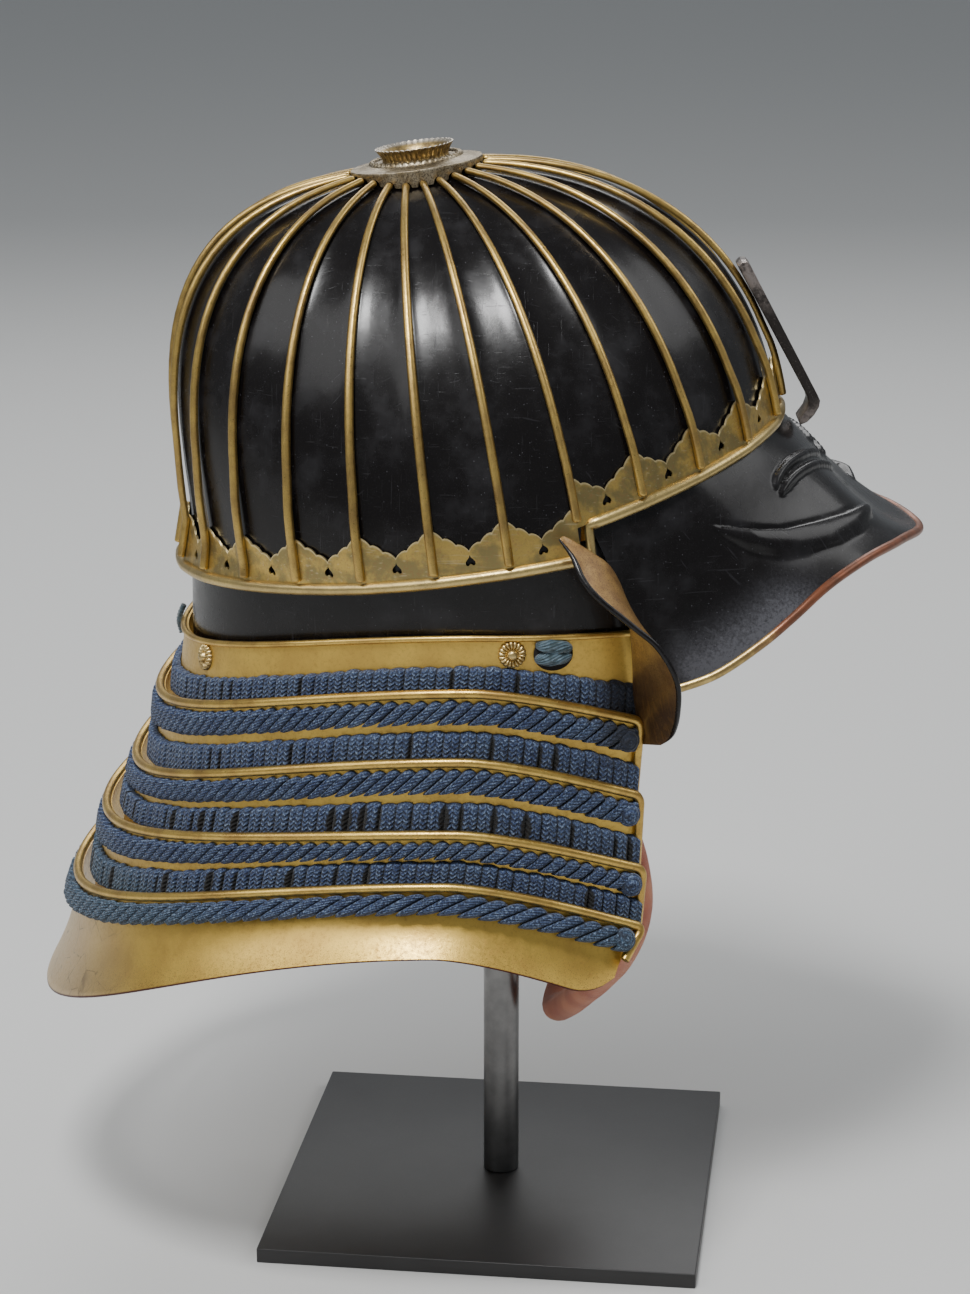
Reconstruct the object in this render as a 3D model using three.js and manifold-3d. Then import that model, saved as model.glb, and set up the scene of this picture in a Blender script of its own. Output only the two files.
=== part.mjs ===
// Kabuto: a ribbed samurai helmet with its five-lame neck guard, on a plain post stand.
// Millimetres, +Z up. The helmet faces +X, the wearer's right side is -Y, and the origin
// is the middle of the base plate's underside, under the post.
import * as THREE from 'three';
import { mergeVertices } from 'three/addons/utils/BufferGeometryUtils.js';
import Module from 'manifold-3d';

const wasm = await Module();
wasm.setup();

// ---------- driving dimensions ----------
const GAP = 0.3;                  // clearance between neighbouring pieces

// stand
const BASE = { side: 170, thick: 6, yaw: -7.3 };
const POST = { radius: 7.1, capRadius: 22, capThick: 5, capTop: 404, sides: 16 };

// bowl: meridians run down from the crown point, about an axis that leans forward; in that
// leaning frame the widest outline is an ellipse, and depth is how far down it lies
const CROWN = { x: -34, z: 412.4, tilt: 7.4, hole: 10 };
const PLAN = { offset: 12.75, halfLength: 114, halfWidth: 106.6 };
const DOME = {
  front: { depth: 121.7, power: 2.42, flare: 0 },
  side: { depth: 117.3, power: 1.82, flare: -0.041 },
  rear: { depth: 115, power: 3.08, flare: 0.171 },
};
const SHELL = { thick: 1.5, levels: 7, flute: 1.1 };
const RIM_REAR = { x: -122, z: 266, slope: 0.152 };
const RIM_FRONT = { x: 27, z: 300, slope: 0.305 };

// azimuths of the ribs on one side, from the front centre to the back centre; at the
// temple the rim steps up to the visor
const TEMPLE = 66.5;
const RIB_AZIMUTHS = [0, 14, 27.6, 40.9, 53.7, TEMPLE, 79.7, 93.8, 108.5, 123.3, 138, 152.7, 167, 180];
const RIB = { width: 3.6, lift: 0.5, height: 2.9, gapToPlate: 0.8 };
const BAND = { lift: 0.6, thick: 0.7, atRib: 19, rollRadius: 2.2, rollLift: 0.9, rollSides: 4 };
// top edge of the hem band, from a rib to the middle of a panel
const SCALLOPS = [
  { share: 0, high: 19 }, { share: 0.5, high: 13.6 }, { share: 1, high: 9.6 },
];
const HEART = { halfWidth: 1.6, height: 3.6, above: 5.2 };
const LEG = { from: 5, lean: 2.2, drop: 12 };   // the front roll turns down at the temple

// crown fitting, tilted with the top of the bowl
const FITTING = { offset: 2.2, sides: 18 };
// half section of the crown plate: distance from its axis, height
const PLATE_PROFILE = [
  [10.6, 0.6], [23.4, 0.6], [24.6, 0.2], [24.8, 3], [18.6, 4], [17.8, 5], [15.6, 5], [10.6, 4.2],
];
const PLATE_RADIUS = 24.8;
const CUP = { base: 12.4, top: 14.2, bore: 10.6, low: 5.3, height: 4, teeth: 16, depth: 0.9 };

// neck guard: one row per lame, the path of its rolled top edge round the neck. In plan it
// is an ellipse about centreX, cut off at frontX; the last row is the hem of lame 5.
const LAMES = [
  { centreX: -8, backX: -122.8, backZ: 239, sideY: 106.8, sideZ: 261.5, frontX: 49, frontZ: 260 },
  { centreX: -11, backX: -132.4, backZ: 215, sideY: 113, sideZ: 243, frontX: 50, frontZ: 228 },
  { centreX: -14, backX: -142.3, backZ: 188, sideY: 119.5, sideZ: 219.5, frontX: 50, frontZ: 201.5 },
  { centreX: -17, backX: -154.6, backZ: 168, sideY: 127, sideZ: 195, frontX: 51, frontZ: 176 },
  { centreX: -20, backX: -166.7, backZ: 141, sideY: 134, sideZ: 177.5, frontX: 51, frontZ: 156 },
  { centreX: -25, backX: -181.5, backZ: 95.5, sideY: 146, sideZ: 154.5, frontX: 36, frontZ: 134.5 },
];
const LAME = { thick: 1.4, bead: 1.5, topBead: 1, tuck: 9, inset: 5.6, stations: 15, edge: 0.018, sag: 2.5 };
const RISE = { rear: 2, front: 1.57 };       // how the edges curve up from the back and down in front
// lacing strips: heights as shares of the visible part of a lame
const LACE = { upright: 0.32, slanted: 0.39, thick: 3.4, below: 2.8, above: 1.9, hemSeen: 20 };
const ROSETTE = { radius: 4.5, dome: 2.9, sides: 8, drop: 6.4, frontX: 3.5, rearX: -110 };
const KNOT = { x: 18, drop: 5.9, long: 7, high: 5.2, thick: 3 };
const BACK_LOOP = { radius: 1.1, high: 11, bow: 1.4, out: 3, lean: 0.9 };

// waistband: the plain wall between the bowl and the first lame
const WAIST = { top: 6, lift: -3, thick: 1.5, flare: 0, front: 58, stops: 21,
  backZ: 229, sideZ: 252, backX: -121, sideX: -30 };

// visor: one row per station from the centre to the side, upper edge under the front rim
const VISOR = [
  { azimuth: 0, lipX: 158.5, lipY: 0, lipZ: 276, bow: -4.5 },
  { azimuth: 12, lipX: 147.5, lipY: 35, lipZ: 280, bow: -1 },
  { azimuth: 23, lipX: 133, lipY: 59, lipZ: 279.5, bow: -3 },
  { azimuth: 33, lipX: 117, lipY: 77, lipZ: 274, bow: -3 },
  { azimuth: 42, lipX: 103, lipY: 88, lipZ: 264.5, bow: -2 },
  { azimuth: 50, lipX: 91, lipY: 94, lipZ: 256, bow: -1.5 },
  { azimuth: 56.5, lipX: 75, lipY: 99, lipZ: 246.5, bow: -1 },
  { azimuth: 61, lipX: 60, lipY: 101, lipZ: 241, bow: 0 },
];
const VISOR_WALL = { thick: 1.8, lift: 0.9, rows: 4, split: 2, rim: 1.8, rimSides: 5 };

// crest holder: side outline in X and Z, a flat iron strip bent up in front of the bowl
const CREST = { width: 13, outline: [
  [113.2, 316.6], [117.6, 319.6], [120.2, 323.6], [119.6, 328], [92.6, 378],
  [90.4, 379.3], [87.9, 377.6], [101.9, 352.4], [115.9, 327], [115.8, 324], [112.4, 318.6],
] };

// ear flaps: one row per station from the tip down, root line and free edge
const EAR_FLAP = [
  { rootX: 20.4, rootY: 111, rootZ: 299.2, edgeX: 19.4, edgeY: 112, edgeZ: 298.4 },
  { rootX: 26, rootY: 109.5, rootZ: 295.6, edgeX: 23.8, edgeY: 117, edgeZ: 293.5 },
  { rootX: 31.2, rootY: 107.5, rootZ: 291.8, edgeX: 27.5, edgeY: 122.5, edgeZ: 286.5 },
  { rootX: 37, rootY: 104.5, rootZ: 286.5, edgeX: 33.3, edgeY: 126, edgeZ: 280.3 },
  { rootX: 42.5, rootY: 103.5, rootZ: 277.7, edgeX: 45, edgeY: 128, edgeZ: 271 },
  { rootX: 47, rootY: 101.5, rootZ: 265.5, edgeX: 53.8, edgeY: 128.5, edgeZ: 263.3 },
  { rootX: 50.5, rootY: 99.5, rootZ: 252.5, edgeX: 60.3, edgeY: 127.5, edgeZ: 250.9 },
  { rootX: 52, rootY: 96.5, rootZ: 236.5, edgeX: 61.2, edgeY: 121.5, edgeZ: 237.7 },
  { rootX: 53, rootY: 95, rootZ: 223.5, edgeX: 59.9, edgeY: 112, edgeZ: 227.1 },
  { rootX: 53, rootY: 97, rootZ: 218.5, edgeX: 56.8, edgeY: 104, edgeZ: 221 },
];
const FLAP_THICK = 1.6;

// chin cord: half of its route, from the inside of the waistband down to the middle
const CORD = { radius: 5.8, sides: 8, steps: 26 };
const CORD_ROUTE = [
  [26, -88, 250], [29, -88, 236], [33, -88, 220], [38, -88, 203], [43, -88, 186],
  [48, -88, 170], [50, -86, 154], [48, -80, 139], [44, -69, 125], [39, -54, 112],
  [33, -37, 99], [27, -19, 86], [22, 0, 77],
];

// ---------- helpers ----------
const rad = THREE.MathUtils.degToRad;
const mix = THREE.MathUtils.lerp;
const vec = (x, y, z) => new THREE.Vector3(x, y, z);
const range = (count, at) => Array.from({ length: count }, (unused, i) => at(i));

// Value between the numbers of a list, at a place counted in list steps.
function along(list, place) {
  const i = Math.min(Math.floor(place), list.length - 2);
  return mix(list[i], list[i + 1], place - i);
}

// Triangles over a flat loop of points.
function cap(loop) {
  const normal = vec(0, 0, 0);
  loop.forEach((p, i) => normal.add(p.clone().cross(loop[(i + 1) % loop.length])));
  const u = loop[1].clone().sub(loop[0]).normalize();
  const v = normal.normalize().cross(u);
  const flat = loop.map((p) => new THREE.Vector2(p.dot(u), p.dot(v)));
  return THREE.ShapeUtils.triangulateShape(flat, []);
}

function enclosedVolume(points, faces) {
  const six = faces.reduce((sum, [a, b, c]) => (
    sum + points[a].dot(points[b].clone().cross(points[c]))), 0);
  return six / 6;
}

// A closed body through cross-sections with the same number of points each. An open run
// has both ends capped, and a closed run joins its last section to its first.
function loft(sections, closed = false) {
  const size = sections[0].length;
  const points = sections.flat();
  const runs = closed ? sections.length : sections.length - 1;
  const faces = [];
  for (let i = 0; i < runs; i += 1) {
    const here = i * size;
    const next = ((i + 1) % sections.length) * size;
    for (let j = 0; j < size; j += 1) {
      const k = (j + 1) % size;
      faces.push([here + j, next + j, next + k], [here + j, next + k, here + k]);
    }
  }
  if (!closed) {
    const last = points.length - size;
    cap(sections[0]).forEach(([a, b, c]) => faces.push([a, b, c]));
    cap(sections.at(-1)).forEach(([a, b, c]) => faces.push([last + a, last + c, last + b]));
  }
  const outward = enclosedVolume(points, faces) > 0;
  const index = faces.flatMap(([a, b, c]) => (outward ? [a, b, c] : [a, c, b]));
  const geometry = new THREE.BufferGeometry().setFromPoints(points);
  geometry.setIndex(index);
  return geometry;
}

// A round bar along a list of centres; flat(i) gives the outward direction at centre i.
function bar(centres, flat, radius, sides, closed = false) {
  const sections = centres.map((centre, i) => {
    const before = centres[closed ? (i + centres.length - 1) % centres.length : Math.max(i - 1, 0)];
    const after = centres[closed ? (i + 1) % centres.length : Math.min(i + 1, centres.length - 1)];
    const tangent = after.clone().sub(before).normalize();
    const side = tangent.clone().cross(flat(i)).normalize();
    const out = side.clone().cross(tangent);
    return range(sides, (j) => {
      const turn = 2 * Math.PI * (j + 0.5) / sides;
      return centre.clone().addScaledVector(out, radius * Math.cos(turn))
        .addScaledVector(side, radius * Math.sin(turn));
    });
  });
  return loft(sections, closed);
}

function toManifold(geometry) {
  const bare = geometry.clone();
  bare.deleteAttribute('normal');
  bare.deleteAttribute('uv');
  const merged = mergeVertices(bare, 1e-4);
  return new wasm.Manifold(new wasm.Mesh({
    numProp: 3,
    vertProperties: Float32Array.from(merged.attributes.position.array),
    triVerts: Uint32Array.from(merged.index.array),
  }));
}

function toGeometry(manifold) {
  const mesh = manifold.getMesh();
  const geometry = new THREE.BufferGeometry();
  geometry.setAttribute('position', new THREE.BufferAttribute(mesh.vertProperties, 3));
  geometry.setIndex(new THREE.BufferAttribute(mesh.triVerts, 1));
  return geometry;
}

// ---------- finishes ----------
const finish = (color, roughness, metalness) => () => (
  new THREE.MeshStandardMaterial({ color, roughness, metalness }));
const blackLacquer = finish(0x0b0b0d, 0.15, 0.0);
const gilt = finish(0xa98b3f, 0.35, 0.9);
const goldLeaf = finish(0xb8973f, 0.4, 0.6);
const agedBrass = finish(0x8a8068, 0.45, 0.9);
const darkIron = finish(0x2a2726, 0.55, 0.6);
const blueLace = finish(0x3c4f72, 0.9, 0.0);
const brownLacquer = finish(0x6b4a24, 0.45, 0.2);
const redLacquer = finish(0x8a4a26, 0.4, 0.1);
const cordRed = finish(0xb5563c, 0.85, 0.0);
const satinBlack = finish(0x1b1c20, 0.45, 0.2);
const satinSteel = finish(0x5c5d60, 0.35, 0.9);

const helmet = new THREE.Group();

function add(name, geometry, material, parent = helmet) {
  const mesh = new THREE.Mesh(geometry, material());
  mesh.name = name;
  parent.add(mesh);
  return mesh;
}

// ---------- bowl surface ----------
// A dome quantity at an azimuth, blended from the front, side and rear profiles.
function domeValue(azimuth, name) {
  const c = Math.cos(rad(azimuth));
  const ends = c > 0 ? DOME.front : DOME.rear;
  return mix(DOME.side[name], ends[name], c * c);
}

// Distance from the leaning axis to the bowl's widest outline.
function planRadius(azimuth) {
  const c = Math.cos(rad(azimuth));
  const s = Math.sin(rad(azimuth));
  const a = (c / PLAN.halfLength) ** 2 + (s / PLAN.halfWidth) ** 2;
  const b = (-2 * PLAN.offset * c) / PLAN.halfLength ** 2;
  const d = (PLAN.offset / PLAN.halfLength) ** 2 - 1;
  return (-b + Math.sqrt(b * b - 4 * a * d)) / (2 * a);
}

// Depth of the shallow channel between two ribs, none at the ribs.
function fluteDepth(azimuth) {
  const turned = Math.abs(azimuth);
  const next = RIB_AZIMUTHS.findIndex((rib, i) => i > 0 && turned <= rib);
  const share = (turned - RIB_AZIMUTHS[next - 1]) / (RIB_AZIMUTHS[next] - RIB_AZIMUTHS[next - 1]);
  return SHELL.flute * Math.sin(Math.PI * share) ** 2;
}

// Distance out and height along a meridian in the leaning frame. polar runs from 0 at the
// crown to 90 at the widest level, and past 90 the wall goes down WALL_STEP a degree.
const WALL_STEP = 1.6;
function meridian(azimuth, polar) {
  const depth = domeValue(azimuth, 'depth');
  const power = 2 / domeValue(azimuth, 'power');
  const dome = rad(Math.min(polar, 90));
  const below = Math.max(polar - 90, 0) * WALL_STEP;
  const widening = 1 + domeValue(azimuth, 'flare') * (below / 60);
  const out = planRadius(azimuth) * Math.sin(dome) ** power * widening;
  return { out, up: depth * Math.max(Math.cos(dome), 0) ** power - depth - below };
}

// A place in the leaning frame, set upright in the object's frame.
const LEAN = { c: Math.cos(rad(CROWN.tilt)), s: Math.sin(rad(CROWN.tilt)) };
function leaning(out, azimuth, up) {
  const forward = out * Math.cos(rad(azimuth));
  return vec(
    CROWN.x + forward * LEAN.c - up * LEAN.s,
    out * Math.sin(rad(azimuth)),
    CROWN.z + forward * LEAN.s + up * LEAN.c,
  );
}

function onBowl(azimuth, polar) {
  const { out, up } = meridian(azimuth, polar);
  return leaning(out - fluteDepth(azimuth) * Math.min(out / 60, 1), azimuth, up);
}

// Outward direction of the bowl, leaving the channels out of account.
function bowlNormal(azimuth, polar) {
  const at = (a, p) => {
    const { out, up } = meridian(a, p);
    return leaning(out, a, up);
  };
  const down = at(azimuth, polar + 0.5).sub(at(azimuth, polar - 0.5));
  const round = at(azimuth + 0.5, polar).sub(at(azimuth - 0.5, polar));
  return down.cross(round).normalize();
}

const bowlPoint = (azimuth, polar, lift) => (
  onBowl(azimuth, polar).addScaledVector(bowlNormal(azimuth, polar), lift));

// The polar angle where a meridian meets a test that turns true on the way down.
function polarWhere(azimuth, passed) {
  let high = 2;
  let low = 150;
  for (let i = 0; i < 30; i += 1) {
    const middle = (high + low) / 2;
    const { out, up } = meridian(azimuth, middle);
    if (passed(leaning(out, azimuth, up), out)) low = middle;
    else high = middle;
  }
  return high;
}

const rimHeight = (x, front) => {
  const rim = front ? RIM_FRONT : RIM_REAR;
  return rim.z + rim.slope * (x - rim.x);
};

// The polar angle at a height above the rim line.
const rimPolar = (azimuth, front, above = 0) => (
  polarWhere(azimuth, ({ x, z }) => z < rimHeight(x, front) + above));

const outPolar = (azimuth, distance) => polarWhere(azimuth, (point, out) => out > distance);
const isFront = (azimuth) => Math.abs(azimuth) < TEMPLE;

// Polar angles of the shell's levels, from the crown hole to the hem band's top and on to
// just above the rolled rim.
const bandTopPolar = (azimuth) => (
  rimPolar(azimuth, Math.abs(azimuth) < TEMPLE + 1, BAND.atRib + 1));
function shellLevels(azimuth) {
  const first = outPolar(azimuth, CROWN.hole);
  const bandTop = bandTopPolar(azimuth);
  const last = rimPolar(azimuth, isFront(azimuth), BAND.rollRadius + GAP);
  return [...range(SHELL.levels, (i) => mix(first, bandTop, i / (SHELL.levels - 1))), last];
}

// Azimuths round the whole bowl: each rib, each middle between two, and both sides of
// the step at the temples.
const STEP_HALF = 0.35;
const halfRing = RIB_AZIMUTHS.flatMap((rib, i) => {
  const next = RIB_AZIMUTHS[i + 1];
  const own = rib === TEMPLE ? [rib - STEP_HALF, rib + STEP_HALF] : [rib];
  return next === undefined ? own : [...own, (rib + next) / 2];
});
const RING = [...halfRing.slice(1).reverse().map((a) => -a), ...halfRing.slice(0, -1)];

function bowlShell() {
  const sections = RING.map((azimuth) => {
    const levels = shellLevels(azimuth);
    const outer = levels.map((polar) => bowlPoint(azimuth, polar, 0));
    const inner = levels.map((polar) => bowlPoint(azimuth, polar, -SHELL.thick));
    return [...outer, ...inner.reverse()];
  });
  return loft(sections, true);
}
add('bowl_shell', bowlShell(), blackLacquer);

// ---------- rib covers ----------
// A half-round gilt moulding down a meridian, thinner underneath where it crosses the
// hem band, and ending on the rolled rim.
function ribCover(azimuth) {
  const plateEdge = PLATE_RADIUS + FITTING.offset * Math.cos(rad(azimuth));
  const start = outPolar(azimuth, plateEdge + RIB.gapToPlate);
  const bandTop = bandTopPolar(azimuth);
  const foot = rimPolar(azimuth, Math.abs(azimuth) <= TEMPLE, BAND.rollRadius + 3 * GAP);
  const between = shellLevels(azimuth).filter((polar) => polar > start + 1 && polar < bandTop - 1);
  const overBand = BAND.lift + BAND.thick + GAP;
  const stops = [start, ...between].map((polar) => ({ polar, under: RIB.lift }));
  stops.push({ polar: bandTop, under: overBand }, { polar: foot, under: overBand });
  const across = vec(-Math.sin(rad(azimuth)), Math.cos(rad(azimuth)), 0);
  const half = RIB.width / 2;
  const top = RIB.lift + RIB.height;
  const sections = stops.map(({ polar, under }) => {
    const outline = [[-half, under], [-0.55 * half, top], [0.55 * half, top], [half, under]];
    return outline.map(([side, lift]) => (
      bowlPoint(azimuth, polar, lift).addScaledVector(across, side)));
  });
  return loft(sections);
}
const ribCount = RIB_AZIMUTHS.length;
RIB_AZIMUTHS.forEach((azimuth, i) => {
  const number = String(i).padStart(2, '0');
  const centred = i === 0 || i === ribCount - 1;
  if (centred) add(`rib_${number}`, ribCover(azimuth), gilt);
  else {
    add(`rib_${number}_right`, ribCover(-azimuth), gilt);
    add(`rib_${number}_left`, ribCover(azimuth), gilt);
  }
});

// ---------- hem band with its rolled rim ----------
const turned = (azimuth) => (azimuth > 180 ? azimuth - 360 : azimuth);

// Azimuths and heights of the scalloped edge over a run of panels.
function scallopStops(ribs) {
  const stops = [];
  ribs.slice(0, -1).forEach((from, i) => {
    const to = ribs[i + 1];
    const down = SCALLOPS.map(({ share, high }) => ({ azimuth: mix(from, to, share / 2), high }));
    const up = SCALLOPS.map(({ share, high }) => ({ azimuth: mix(to, from, share / 2), high }));
    stops.push(...down, ...up.reverse().slice(1));
    if (i < ribs.length - 2) stops.pop();
  });
  return stops;
}

// Section of the band: the strip down the bowl's face and the roll round its lower edge.
function hemSection(azimuth, front, high) {
  const face = BAND.lift + BAND.thick;
  const roll = range(BAND.rollSides, (i) => {
    const turn = rad(mix(60, -170, i / (BAND.rollSides - 1)));
    return [BAND.rollLift + BAND.rollRadius * Math.cos(turn), BAND.rollRadius * Math.sin(turn)];
  });
  const outline = [[BAND.lift, high], [face, high], [face, 1.1 * BAND.rollRadius], ...roll,
    [BAND.lift, 1.1 * BAND.rollRadius]];
  return outline.map(([lift, above]) => bowlPoint(azimuth, rimPolar(azimuth, front, above), lift));
}

// A heart with its point up, cut through the strip at the middle of a panel.
function heartCutter(azimuth, front) {
  const { halfWidth: w, height: h, above } = HEART;
  const half = [[0, h], [w, 0.3 * h], [0.6 * w, 0], [0, 0.18 * h]];
  const outline = [...half, ...half.slice(1, -1).reverse().map(([x, y]) => [-x, y])];
  const centre = rimPolar(azimuth, front, above);
  const origin = bowlPoint(azimuth, centre, 0);
  const out = bowlNormal(azimuth, centre);
  const side = vec(-Math.sin(rad(azimuth)), Math.cos(rad(azimuth)), 0);
  const up = out.clone().cross(side);
  const ring = (lift) => outline.map(([x, y]) => origin.clone().addScaledVector(out, lift)
    .addScaledVector(side, x).addScaledVector(up, y));
  return loft([ring(-1.5), ring(3)]);
}

function hemBand(ribs, front) {
  const sections = scallopStops(ribs).map(({ azimuth, high }) => (
    hemSection(turned(azimuth), front, high)));
  let band = toManifold(loft(sections));
  if (front) {
    [-1, 1].forEach((side) => {
      const places = [[LEG.from, 0], [LEG.lean, 0], [LEG.lean, LEG.drop]];
      const centres = places.map(([back, drop]) => {
        const azimuth = side * (TEMPLE - back);
        return bowlPoint(azimuth, rimPolar(azimuth, true, -drop), BAND.rollLift);
      });
      const out = bowlNormal(side * TEMPLE, rimPolar(TEMPLE, true));
      band = band.add(toManifold(bar(centres, () => out, BAND.rollRadius, 6)));
    });
  }
  ribs.slice(0, -1).forEach((rib, i) => {
    const middle = turned((rib + ribs[i + 1]) / 2);
    band = band.subtract(toManifold(heartCutter(middle, front)));
  });
  return toGeometry(band);
}
const frontHalf = RIB_AZIMUTHS.filter((rib) => rib < TEMPLE).slice(1);
const rearHalf = RIB_AZIMUTHS.filter((rib) => rib > TEMPLE);
const frontRibs = [-TEMPLE + STEP_HALF, ...[...frontHalf].reverse().map((a) => -a), 0,
  ...frontHalf, TEMPLE - STEP_HALF];
const rearRibs = [TEMPLE + STEP_HALF, ...rearHalf,
  ...rearHalf.slice(0, -1).reverse().map((a) => 360 - a), 360 - TEMPLE - STEP_HALF];
add('hem_band_front', hemBand(frontRibs, true), gilt);
add('hem_band_rear', hemBand(rearRibs, false), gilt);

// ---------- waistband ----------
function waistband() {
  return loft(range(WAIST.stops, (i) => {
    const a = turned(mix(WAIST.front, 360 - WAIST.front, i / (WAIST.stops - 1)));
    const rows = [WAIST.top, -4].map((above) => ({
      at: (lift) => bowlPoint(a, rimPolar(a, false, above), lift) }));
    const foot = (lift) => {
      const p = bowlPoint(a, rimPolar(a, false), lift + WAIST.flare);
      const share = (p.x - WAIST.backX) / (WAIST.sideX - WAIST.backX);
      return p.setZ(mix(WAIST.backZ, WAIST.sideZ, Math.min(Math.max(share, 0), 1)));
    };
    const outer = [rows[0].at(WAIST.lift), rows[1].at(WAIST.lift), foot(WAIST.lift)];
    const within = WAIST.lift - WAIST.thick;
    return [...outer, foot(within), rows[1].at(within), rows[0].at(within)];
  }));
}
add('waistband', waistband(), blackLacquer);

// ---------- visor ----------
// A point of the visor. place counts stations from the centre, negative on the right side,
// and down runs from 0 under the rim to 1 at the lip.
function visorPoint(place, down, lift = 0) {
  const surface = (p, t) => {
    const side = Math.sign(p) || 1;
    const s = Math.abs(p);
    const column = (name) => along(VISOR.map((row) => row[name]), s);
    const azimuth = side * column('azimuth');
    const under = rimPolar(azimuth, true, -BAND.rollRadius - GAP);
    const top = bowlPoint(azimuth, under, VISOR_WALL.lift);
    const lip = vec(column('lipX'), side * column('lipY'), column('lipZ'));
    return top.lerp(lip, t);
  };
  const slope = surface(place, 1).sub(surface(place, 0)).normalize();
  const end = VISOR.length - 1;
  const near = surface(Math.max(place - 0.2, -end), 0.5);
  const far = surface(Math.min(place + 0.2, end), 0.5);
  const normal = slope.clone().cross(far.sub(near)).normalize();
  const bow = along(VISOR.map((row) => row.bow), Math.abs(place));
  const swell = bow * Math.sin(Math.PI * down ** 1.35);
  return surface(place, down).addScaledVector(normal, swell + lift);
}

const visorStations = (() => {
  const ends = VISOR.length - 1;
  const count = ends * 2 * VISOR_WALL.split;
  return range(count + 1, (i) => -ends + i / VISOR_WALL.split);
})();

function visorShell() {
  return loft(visorStations.map((place) => {
    const rows = range(VISOR_WALL.rows, (i) => i / (VISOR_WALL.rows - 1));
    const outer = rows.map((t) => visorPoint(place, t));
    const inner = rows.map((t) => visorPoint(place, t, -VISOR_WALL.thick));
    return [...outer, ...inner.reverse()];
  }));
}
add('visor', visorShell(), blackLacquer);

// The rolled edge of the visor, just outside its lip.
function visorRim() {
  const clear = VISOR_WALL.rim + GAP;
  const centres = visorStations.map((place) => {
    const lip = visorPoint(place, 1, -VISOR_WALL.thick / 2);
    const above = visorPoint(place, 0.85, -VISOR_WALL.thick / 2);
    return lip.clone().addScaledVector(lip.clone().sub(above).normalize(), clear);
  });
  const flats = visorStations.map((place) => visorPoint(place, 1, 1).sub(visorPoint(place, 1)));
  return bar(centres, (i) => flats[i], VISOR_WALL.rim, VISOR_WALL.rimSides);
}
add('visor_rim', visorRim(), redLacquer);

// ---------- crest holder ----------
function crestHolder() {
  const shape = new THREE.Shape(CREST.outline.map(([x, z]) => new THREE.Vector2(x, z)));
  const strip = new THREE.ExtrudeGeometry(shape, { depth: CREST.width, bevelEnabled: false });
  return strip.rotateX(Math.PI / 2).translate(0, CREST.width / 2, 0);
}
add('crest_holder', crestHolder(), darkIron);

// ---------- crown fitting ----------
const fitting = new THREE.Group();
fitting.position.copy(leaning(FITTING.offset, 0, 0));
fitting.rotation.y = -rad(CROWN.tilt);
helmet.add(fitting);

function turnedRing(profile, sides) {
  return loft(range(sides, (i) => {
    const a = 2 * Math.PI * i / sides;
    return profile.map(([r, z]) => vec(r * Math.cos(a), r * Math.sin(a), z));
  }), true);
}
add('crown_plate', turnedRing(PLATE_PROFILE, FITTING.sides), agedBrass, fitting);

// A flared cup with upright flutes, open through the middle.
function crownCup() {
  const steps = CUP.teeth * 2;
  return loft(range(steps, (i) => {
    const a = 2 * Math.PI * i / steps;
    const out = i % 2 ? CUP.depth : 0;
    const profile = [[CUP.base - out, CUP.low], [CUP.top - out, CUP.low + CUP.height],
      [CUP.bore + 1.6, CUP.low + CUP.height], [CUP.bore, CUP.low]];
    return profile.map(([r, z]) => vec(r * Math.cos(a), r * Math.sin(a), z));
  }), true);
}
add('crown_cup', crownCup(), agedBrass, fitting);

// ---------- neck guard ----------
// A point on a row's edge: share is 0 at the back and 1 or -1 at the front ends.
function guardPoint(row, share, out = 0) {
  const a = row.centreX - row.backX;
  const last = Math.acos((row.centreX - row.frontX) / a);
  const angle = last * Math.abs(share);
  const side = Math.sign(share) || 1;
  const c = Math.cos(angle);
  const s = Math.sin(angle);
  const normal = vec(-c / a, (side * s) / row.sideY, 0).normalize();
  const x = row.centreX - a * c;
  const rear = Math.max(c, 0) ** RISE.rear;
  const front = Math.max((x - row.centreX) / (row.frontX - row.centreX), 0) ** RISE.front;
  const z = row.sideZ + (row.backZ - row.sideZ) * rear + (row.frontZ - row.sideZ) * front;
  return vec(x, side * row.sideY * s, z).addScaledVector(normal, out);
}

// The lame's own axes at a share: its top edge, the way down its face, and outward.
function lameFrame(k, share) {
  const hem = k === LAMES.length - 2;
  const top = guardPoint(LAMES[k], share);
  const foot = guardPoint(LAMES[k + 1], share, hem ? 0 : -LAME.inset);
  if (!hem) foot.z -= LAME.tuck;
  const face = foot.clone().sub(top);
  const length = face.length();
  const down = face.normalize();
  const round = guardPoint(LAMES[k], Math.min(share + 0.02, 1))
    .sub(guardPoint(LAMES[k], Math.max(share - 0.02, -1)));
  const out = round.cross(down).normalize();
  if (out.dot(guardPoint(LAMES[k], share, 1).sub(top)) < 0) out.negate();
  const at = (lift, drop) => (
    top.clone().addScaledVector(out, lift).addScaledVector(down, drop));
  return { at, length, out, down };
}

// Shares of the sections, with two close together at each front end for the turned edge.
const lameShares = (() => {
  const inner = range(LAME.stations, (i) => mix(-1, 1, (i + 0.5) / LAME.stations));
  const edge = [1, 1 - LAME.edge, 1 - 1.4 * LAME.edge];
  return [...edge.map((s) => -s), ...inner, ...edge.reverse()];
})();

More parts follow.
